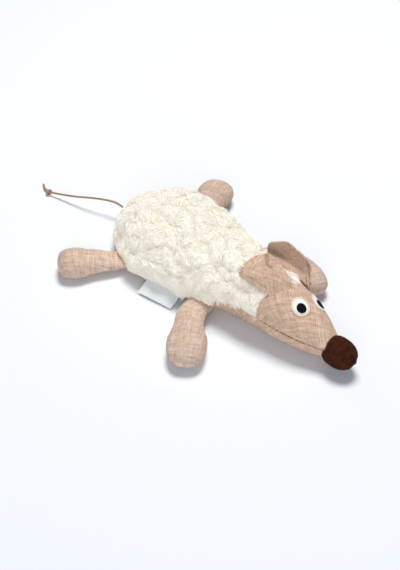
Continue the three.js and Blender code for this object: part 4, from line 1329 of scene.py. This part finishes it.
# %% [markdown]
# ## The fur back
# The back is a knitted backing with a long, soft, curly pile that hangs together in clumps. The backing
# is swollen into soft lumps a few millimetres high. A curly lock is modelled, and Geometry Nodes set
# thousands of copies on the backing: each lies along the surface, leans to the middle of its clump and
# tucks its tip in, as felted wool does. Real locks and not hair strands, so that the export has them.

# %% One curly lock of wool
def lock_of_wool(name, length, width, lift, curl, turns, steps=4):
    """A lock that rises from its root, curls to one side and tucks its tip in again."""
    bpy.ops.object.select_all(action="DESELECT")
    bpy.ops.mesh.primitive_circle_add(vertices=3, radius=width / 2 * MM)
    lock = new_piece(name)
    edit_all(lock, "VERT")
    bpy.ops.transform.resize(value=(0.45, 0.7, 1))
    last = Vector((0, 0, 0))
    thick = 0.6
    for i in range(1, steps + 1):
        t = i / steps
        risen = lift * math.sin(math.pi * t) - 0.5 * lift * t * t
        at = Vector((risen, curl * math.sin(2 * math.pi * turns * t), length * t)) * MM
        bpy.ops.mesh.extrude_region_move(TRANSFORM_OT_translate={"value": at - last})
        now = math.sin(math.pi * (0.2 + 0.75 * t)) if i < steps else 0.06
        bpy.ops.transform.resize(value=(now / thick,) * 3, center_override=at)
        last, thick = at, now
    done()
    along = lock.data.uv_layers.new(name="weave")
    for face in lock.data.polygons:
        for loop, v in zip(face.loop_indices, face.vertices):
            along.data[loop].uv = (0.5, lock.data.vertices[v].co.z / (length * MM))
    smooth(lock)
    return lock


CLUMP = 11


def mesh_nodes(name):
    """An empty node tree that takes a mesh in and gives one back."""
    tree = bpy.data.node_groups.new(name, "GeometryNodeTree")
    tree.is_modifier = True
    for way in ("INPUT", "OUTPUT"):
        tree.interface.new_socket("Geometry", in_out=way, socket_type="NodeSocketGeometry")
    return tree


def wool_nodes(name, lock, count_per_square_metre, seed, gather, stray, length, upright):
    """Nodes that set locks on a surface, each leaning to the middle of its clump."""
    tree = mesh_nodes(name)

    def vectors(operation, a, *b):
        other = "Scale" if operation == "SCALE" else 1
        return node(tree, "ShaderNodeVectorMath", {0: a, **{other: value for value in b}},
                    operation=operation).outputs[0]

    def random_value(kind, low, high, offset):
        made = node(tree, "FunctionNodeRandomValue", {"Seed": seed + offset}, data_type=kind)
        for socket in made.inputs:
            if socket.enabled and socket.name in ("Min", "Max"):
                socket.default_value = low if socket.name == "Min" else high
        return [socket for socket in made.outputs if socket.enabled][0]

    spot = node(tree, "GeometryNodeInputPosition").outputs[0]
    scatter = node(tree, "GeometryNodeDistributePointsOnFaces", {
        "Mesh": node(tree, "NodeGroupInput").outputs[0], "Density": count_per_square_metre, "Seed": seed})
    normal = scatter.outputs["Normal"]
    cells = node(tree, "ShaderNodeTexVoronoi", {"Vector": spot, "Scale": 1000 / CLUMP})
    to_middle = vectors("SCALE", vectors("SUBTRACT", cells.outputs["Position"], spot), 1000 / CLUMP * gather)
    swirl = node(tree, "ShaderNodeTexNoise", {"Vector": spot, "Scale": 60.0, "Detail": 2.0})
    flow = vectors("SCALE", vectors("SUBTRACT", swirl.outputs["Color"], (0.5, 0.5, 0.5)), 3.0)
    loose = random_value("FLOAT_VECTOR", (-stray,) * 3, (stray,) * 3, 1)
    lean = vectors("ADD", to_middle, vectors("ADD", flow, loose))
    rising = node(tree, "ShaderNodeVectorMath", {0: lean, 1: normal}, operation="DOT_PRODUCT").outputs["Value"]
    flat = vectors("NORMALIZE", vectors("SUBTRACT", lean, vectors("SCALE", normal, rising)))
    laid_down = node(tree, "FunctionNodeAlignRotationToVector", {
        "Vector": vectors("ADD", flat, vectors("SCALE", normal, upright))}, axis="Z").outputs[0]
    stood = node(tree, "FunctionNodeAlignRotationToVector", {"Rotation": laid_down, "Vector": normal},
                 axis="X", pivot_axis="Z").outputs[0]
    spin = node(tree, "FunctionNodeAxisAngleToRotation", {
        "Axis": (0, 0, 1), "Angle": random_value("FLOAT", -0.6, 0.6, 2)}).outputs[0]
    turned = node(tree, "FunctionNodeRotateRotation", {"Rotation": stood, "Rotate By": spin},
                  rotation_space="LOCAL").outputs[0]
    nap = node(tree, "GeometryNodeInputNamedAttribute", {"Name": "nap"}, data_type="FLOAT").outputs["Attribute"]
    laid = node(tree, "GeometryNodeInstanceOnPoints", {
        "Points": scatter.outputs["Points"], "Rotation": turned,
        "Instance": node(tree, "GeometryNodeObjectInfo", {"Object": lock}).outputs["Geometry"],
        "Scale": maths(tree, "MULTIPLY", random_value("FLOAT", *length, 3), nap)}).outputs[0]
    tone = node(tree, "GeometryNodeStoreNamedAttribute", {"Geometry": laid, "Name": "lock_tone"},
                data_type="FLOAT", domain="INSTANCE")
    value = [socket for socket in tone.inputs if socket.name == "Value" and socket.enabled][0]
    tree.links.new(random_value("FLOAT", 0.0, 1.0, 4), value)
    real = node(tree, "GeometryNodeRealizeInstances", {0: tone.outputs[0]}).outputs[0]
    node(tree, "NodeGroupOutput", {0: real})
    return tree


print("wool tools ready")

# %% [markdown]
# ## The nose's pile
# The nose is of plush, whose short dark pile stands up. The same nodes set it, with a lock of 1.1 mm.

# %% Short pile on the nose
NOSE_LOCKS = 6000000
pile_length = nose.data.attributes.new("nap", "FLOAT", "POINT")
for vert in nose.data.vertices:
    pile_length.data[vert.index].value = 1.0
lock = lock_of_wool("plush_lock", 1.1, 0.3, 0.1, 0.2, 0.3, 3)
nose_pile = copy_of(nose, "nose_pile")
apply_modifier(nose_pile, "NODES",
               node_group=wool_nodes("nose_plush_pile", lock, NOSE_LOCKS, 5, 0.0, 0.5, (0.6, 1.0), 0.7))
bpy.data.objects.remove(lock)
print("nose pile:", len(nose_pile.data.polygons), "faces")

# %% Where the pile is long and where it is short
edit_all(fur_base, "VERT")
bpy.ops.transform.shrink_fatten(value=0.0004)
done()
rounded(fur_base, 2)
smooth(fur_base)
fur_base.data.attributes.new("nap", "FLOAT", "POINT")
fur_base.data.attributes.new("calm", "FLOAT", "POINT")
nap, calm = fur_base.data.attributes["nap"], fur_base.data.attributes["calm"]
for vert in fur_base.data.vertices:
    s, z = s_of(vert.co.x), vert.co.z / MM
    ahead = behind_neck(vert.co)
    near_seam = smoothstep(z - seam_height(s) - side_edge(s) * (s < 167), 0, 12)
    near_neck = smoothstep(ahead, 0, 28)
    at_rump = smoothstep(s, 4, 38)
    by_tag = (smoothstep(s, 50, 64) * (1 - smoothstep(s, 92, 104)) * (near_seam < 1) * (1 - near_seam)
              * (vert.co.y < MID_Y))
    far_side = smoothstep(vert.co.y - MID_Y, 0.012, 0.030)
    off_middle = smoothstep(abs(vert.co.y - MID_Y - 0.002), 0.001, 0.005)
    by_ears = (1 - smoothstep(ahead, 32, 42)) * smoothstep(z, 33, 38) * off_middle
    calm.data[vert.index].value = 1 - ((1 - by_ears) * (1 - by_tag) * smoothstep(ahead, 0.5, 3)
                                       * (0.4 + 0.6 * smoothstep(s, 0, 14)))
    nap.data[vert.index].value = ((0.7 + 0.3 * near_neck) * (0.65 + 0.35 * near_seam) * (1 - 0.8 * by_ears)
                                  * (0.25 + 0.85 * at_rump) * (1 - 0.6 * by_tag)
                                  * (1 - (0.35 + 0.3 * smoothstep(s, 100, 125)) * far_side)
                                  * smoothstep(ahead, 0.5, 3))
CREST_LIFT = 2.0
lifts = [(vert.index, vert.normal * CREST_LIFT * MM * smoothstep(s_of(vert.co.x), 14, 42)
          * (1 - smoothstep(s_of(vert.co.x), 80, 120)) * smoothstep(vert.co.z / MM, 24, 36))
         for vert in fur_base.data.vertices]
for index, lift in lifts:
    fur_base.data.vertices[index].co += lift
print("backing:", len(fur_base.data.polygons), "faces")

# %% Folds across the back
on_back = lambda pairs: [skin_point(s, math.radians(turn)) / MM for s, turn in pairs]
folds = ([(38, 62), (52, 66), (66, 74), (80, 84)], [(100, 70), (118, 84), (132, 98)],
         [(60, 110), (78, 120), (96, 118)],
         [(22, 84), (34, 104), (40, 124)], [(120, 122), (138, 128), (152, 124)], [(84, 58), (100, 52)],
         [(142, 84), (156, 100)], [(56, 140), (74, 146)])
FOLD_DEPTH, FOLD_WIDTH = 1.5, 3.6
for fold in folds:
    press_line(fur_base, on_back(fold), FOLD_DEPTH, FOLD_WIDTH)
print("folds:", len(folds))

# %% Soft lumps: the pile hangs together in clumps
t = mesh_nodes("soft_lumps")
spot = node(t, "GeometryNodeInputPosition").outputs[0]
stir = node(t, "ShaderNodeTexNoise", {"Vector": spot, "Scale": 90.0, "Detail": 1.0})
shift = node(t, "ShaderNodeVectorMath", {0: stir.outputs["Color"], "Scale": 0.006}, operation="SCALE")
stirred = node(t, "ShaderNodeVectorMath", {0: spot, 1: shift.outputs[0]}, operation="ADD").outputs[0]
big = node(t, "ShaderNodeTexVoronoi", {"Vector": stirred, "Scale": 74.0, "Smoothness": 0.45}, feature="SMOOTH_F1")
small = node(t, "ShaderNodeTexVoronoi", {"Vector": stirred, "Scale": 210.0, "Smoothness": 0.4}, feature="SMOOTH_F1")
roll = maths(t, "SUBTRACT", 1.0, maths(t, "POWER", big.outputs["Distance"], 2.0))
curl = maths(t, "SUBTRACT", 1.0, maths(t, "POWER", small.outputs["Distance"], 2.0))
wide = node(t, "ShaderNodeTexNoise", {"Vector": spot, "Scale": 42.0, "Detail": 1.0}).outputs["Fac"]
rise = maths(t, "ADD", maths(t, "ADD", maths(t, "MULTIPLY", roll, 6.5), maths(t, "MULTIPLY", curl, 1.5)),
             maths(t, "SUBTRACT", maths(t, "MULTIPLY", wide, 2.0), 3.7))
pile = node(t, "GeometryNodeInputNamedAttribute", {"Name": "nap"}, data_type="FLOAT").outputs[0]
tall = maths(t, "MULTIPLY", rise, pile)
lift = node(t, "ShaderNodeVectorMath", {0: node(t, "GeometryNodeInputNormal").outputs[0],
                                        "Scale": maths(t, "MULTIPLY", tall, MM)}, operation="SCALE").outputs[0]
moved = node(t, "GeometryNodeSetPosition", {"Geometry": node(t, "NodeGroupInput").outputs[0], "Offset": lift})
t.links.new(moved.outputs[0], node(t, "NodeGroupOutput").inputs[0])
rounded(fur_base, 1)
apply_modifier(fur_base, "NODES", node_group=t)
nap, calm = fur_base.data.attributes["nap"], fur_base.data.attributes["calm"]
for low, quiet in zip(nap.data, calm.data):
    low.value += 0.45 * (1 - low.value) * (1 - quiet.value)
print("backing with lumps:", len(fur_base.data.polygons), "faces")

# %% Thousands of locks in four layers, the lowest laid flat and the top one raised a little
LOCKS_PER_SQUARE_METRE = 380000
wool = []
for layer, (upright, gather, stray, span, shape) in enumerate((
        (0.02, 0.8, 0.2, (0.7, 1.1), (6.0, 1.1, 0.7, 0.8, 0.5)),
        (0.06, 0.9, 0.25, (0.7, 1.1), (6.0, 0.8, 0.9, -0.9, 0.6)),
        (0.12, 0.8, 0.3, (0.6, 1.0), (5.5, 0.55, 1.0, 0.9, 0.8)),
        (0.25, 0.6, 0.45, (0.5, 1.0), (5.0, 0.36, 1.2, -0.9, 0.9)))):
    lock = lock_of_wool("lock_%d" % layer, *shape)
    pile = copy_of(fur_base, "fur_pile_" + "abcd"[layer])
    nodes = wool_nodes("wool_%d" % layer, lock, LOCKS_PER_SQUARE_METRE, 11 + 17 * layer, gather, stray, span, upright)
    apply_modifier(pile, "NODES", node_group=nodes)
    bpy.data.objects.remove(lock)
    wool.append(pile)
    print(pile.name, sum(len(face.vertices) - 2 for face in pile.data.polygons), "triangles")

# %% [markdown]
# ## What each piece is
# Every piece rides on the body it is sewn to and stands for its solid in the imported model.

# %% Riding, finishing and replacing
def belongs(piece, body, finish_of, slot, *nodes):
    piece.data.materials.clear()
    piece.data.materials.append(finish_of)
    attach(piece, body)
    if nodes:
        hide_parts(*nodes)


bpy.data.objects.remove(skin)
belongs(belly, "torso", canvas, "canvas", "belly_panel")
belongs(head, "torso", canvas, "canvas", "head_panel")
belongs(fur_base, "torso", backing, "fur", "fur_back")
for pile in wool:
    belongs(pile, "torso", wool_finish, "fur")
belongs(nose, "torso", plush, "nose_plush", "nose_cap")
belongs(nose_pile, "torso", plush, "nose_plush")
belongs(stitches, "torso", black_thread, "black_thread")
belongs(fillings["torso"], "torso", wadding, "wadding", "body_wadding")
belongs(fillings["nose"], "torso", wadding, "wadding", "nose_wadding")
belongs(pouch, "torso", cotton, "herb_cotton", "catnip_pouch")
for name, leg in legs.items():
    belongs(leg, name, leg_canvas, "canvas", name + "_sleeve")
    belongs(fillings[name], name, wadding, "wadding", name + "_wadding")
for name, (outer, lining) in ears.items():
    belongs(outer, name + "_ear", canvas, "canvas", name + "_ear_outer")
    belongs(lining, name + "_ear", canvas, "canvas", name + "_ear_lining")
for name, (ring, field, dot) in eyes.items():
    belongs(ring, "torso", ring_thread, "cream_thread", name + "_eye_border")
    belongs(field, "torso", white_thread, "white_thread", name + "_eye_white")
    belongs(dot, "torso", black_thread, "black_thread", name + "_eye_pupil")
belongs(tag, "torso", satin, "satin", "side_tag")
belongs(tail, "torso", cord_finish, "cord", "tail_cord")
belongs(tail_end, "torso", cord_finish, "cord", "tail_tip")
belongs(tail_knot, "torso", cord_finish, "cord", "tail_knot")
belongs(inner_knot, "torso", cord_finish, "cord", "tail_inner_knot")
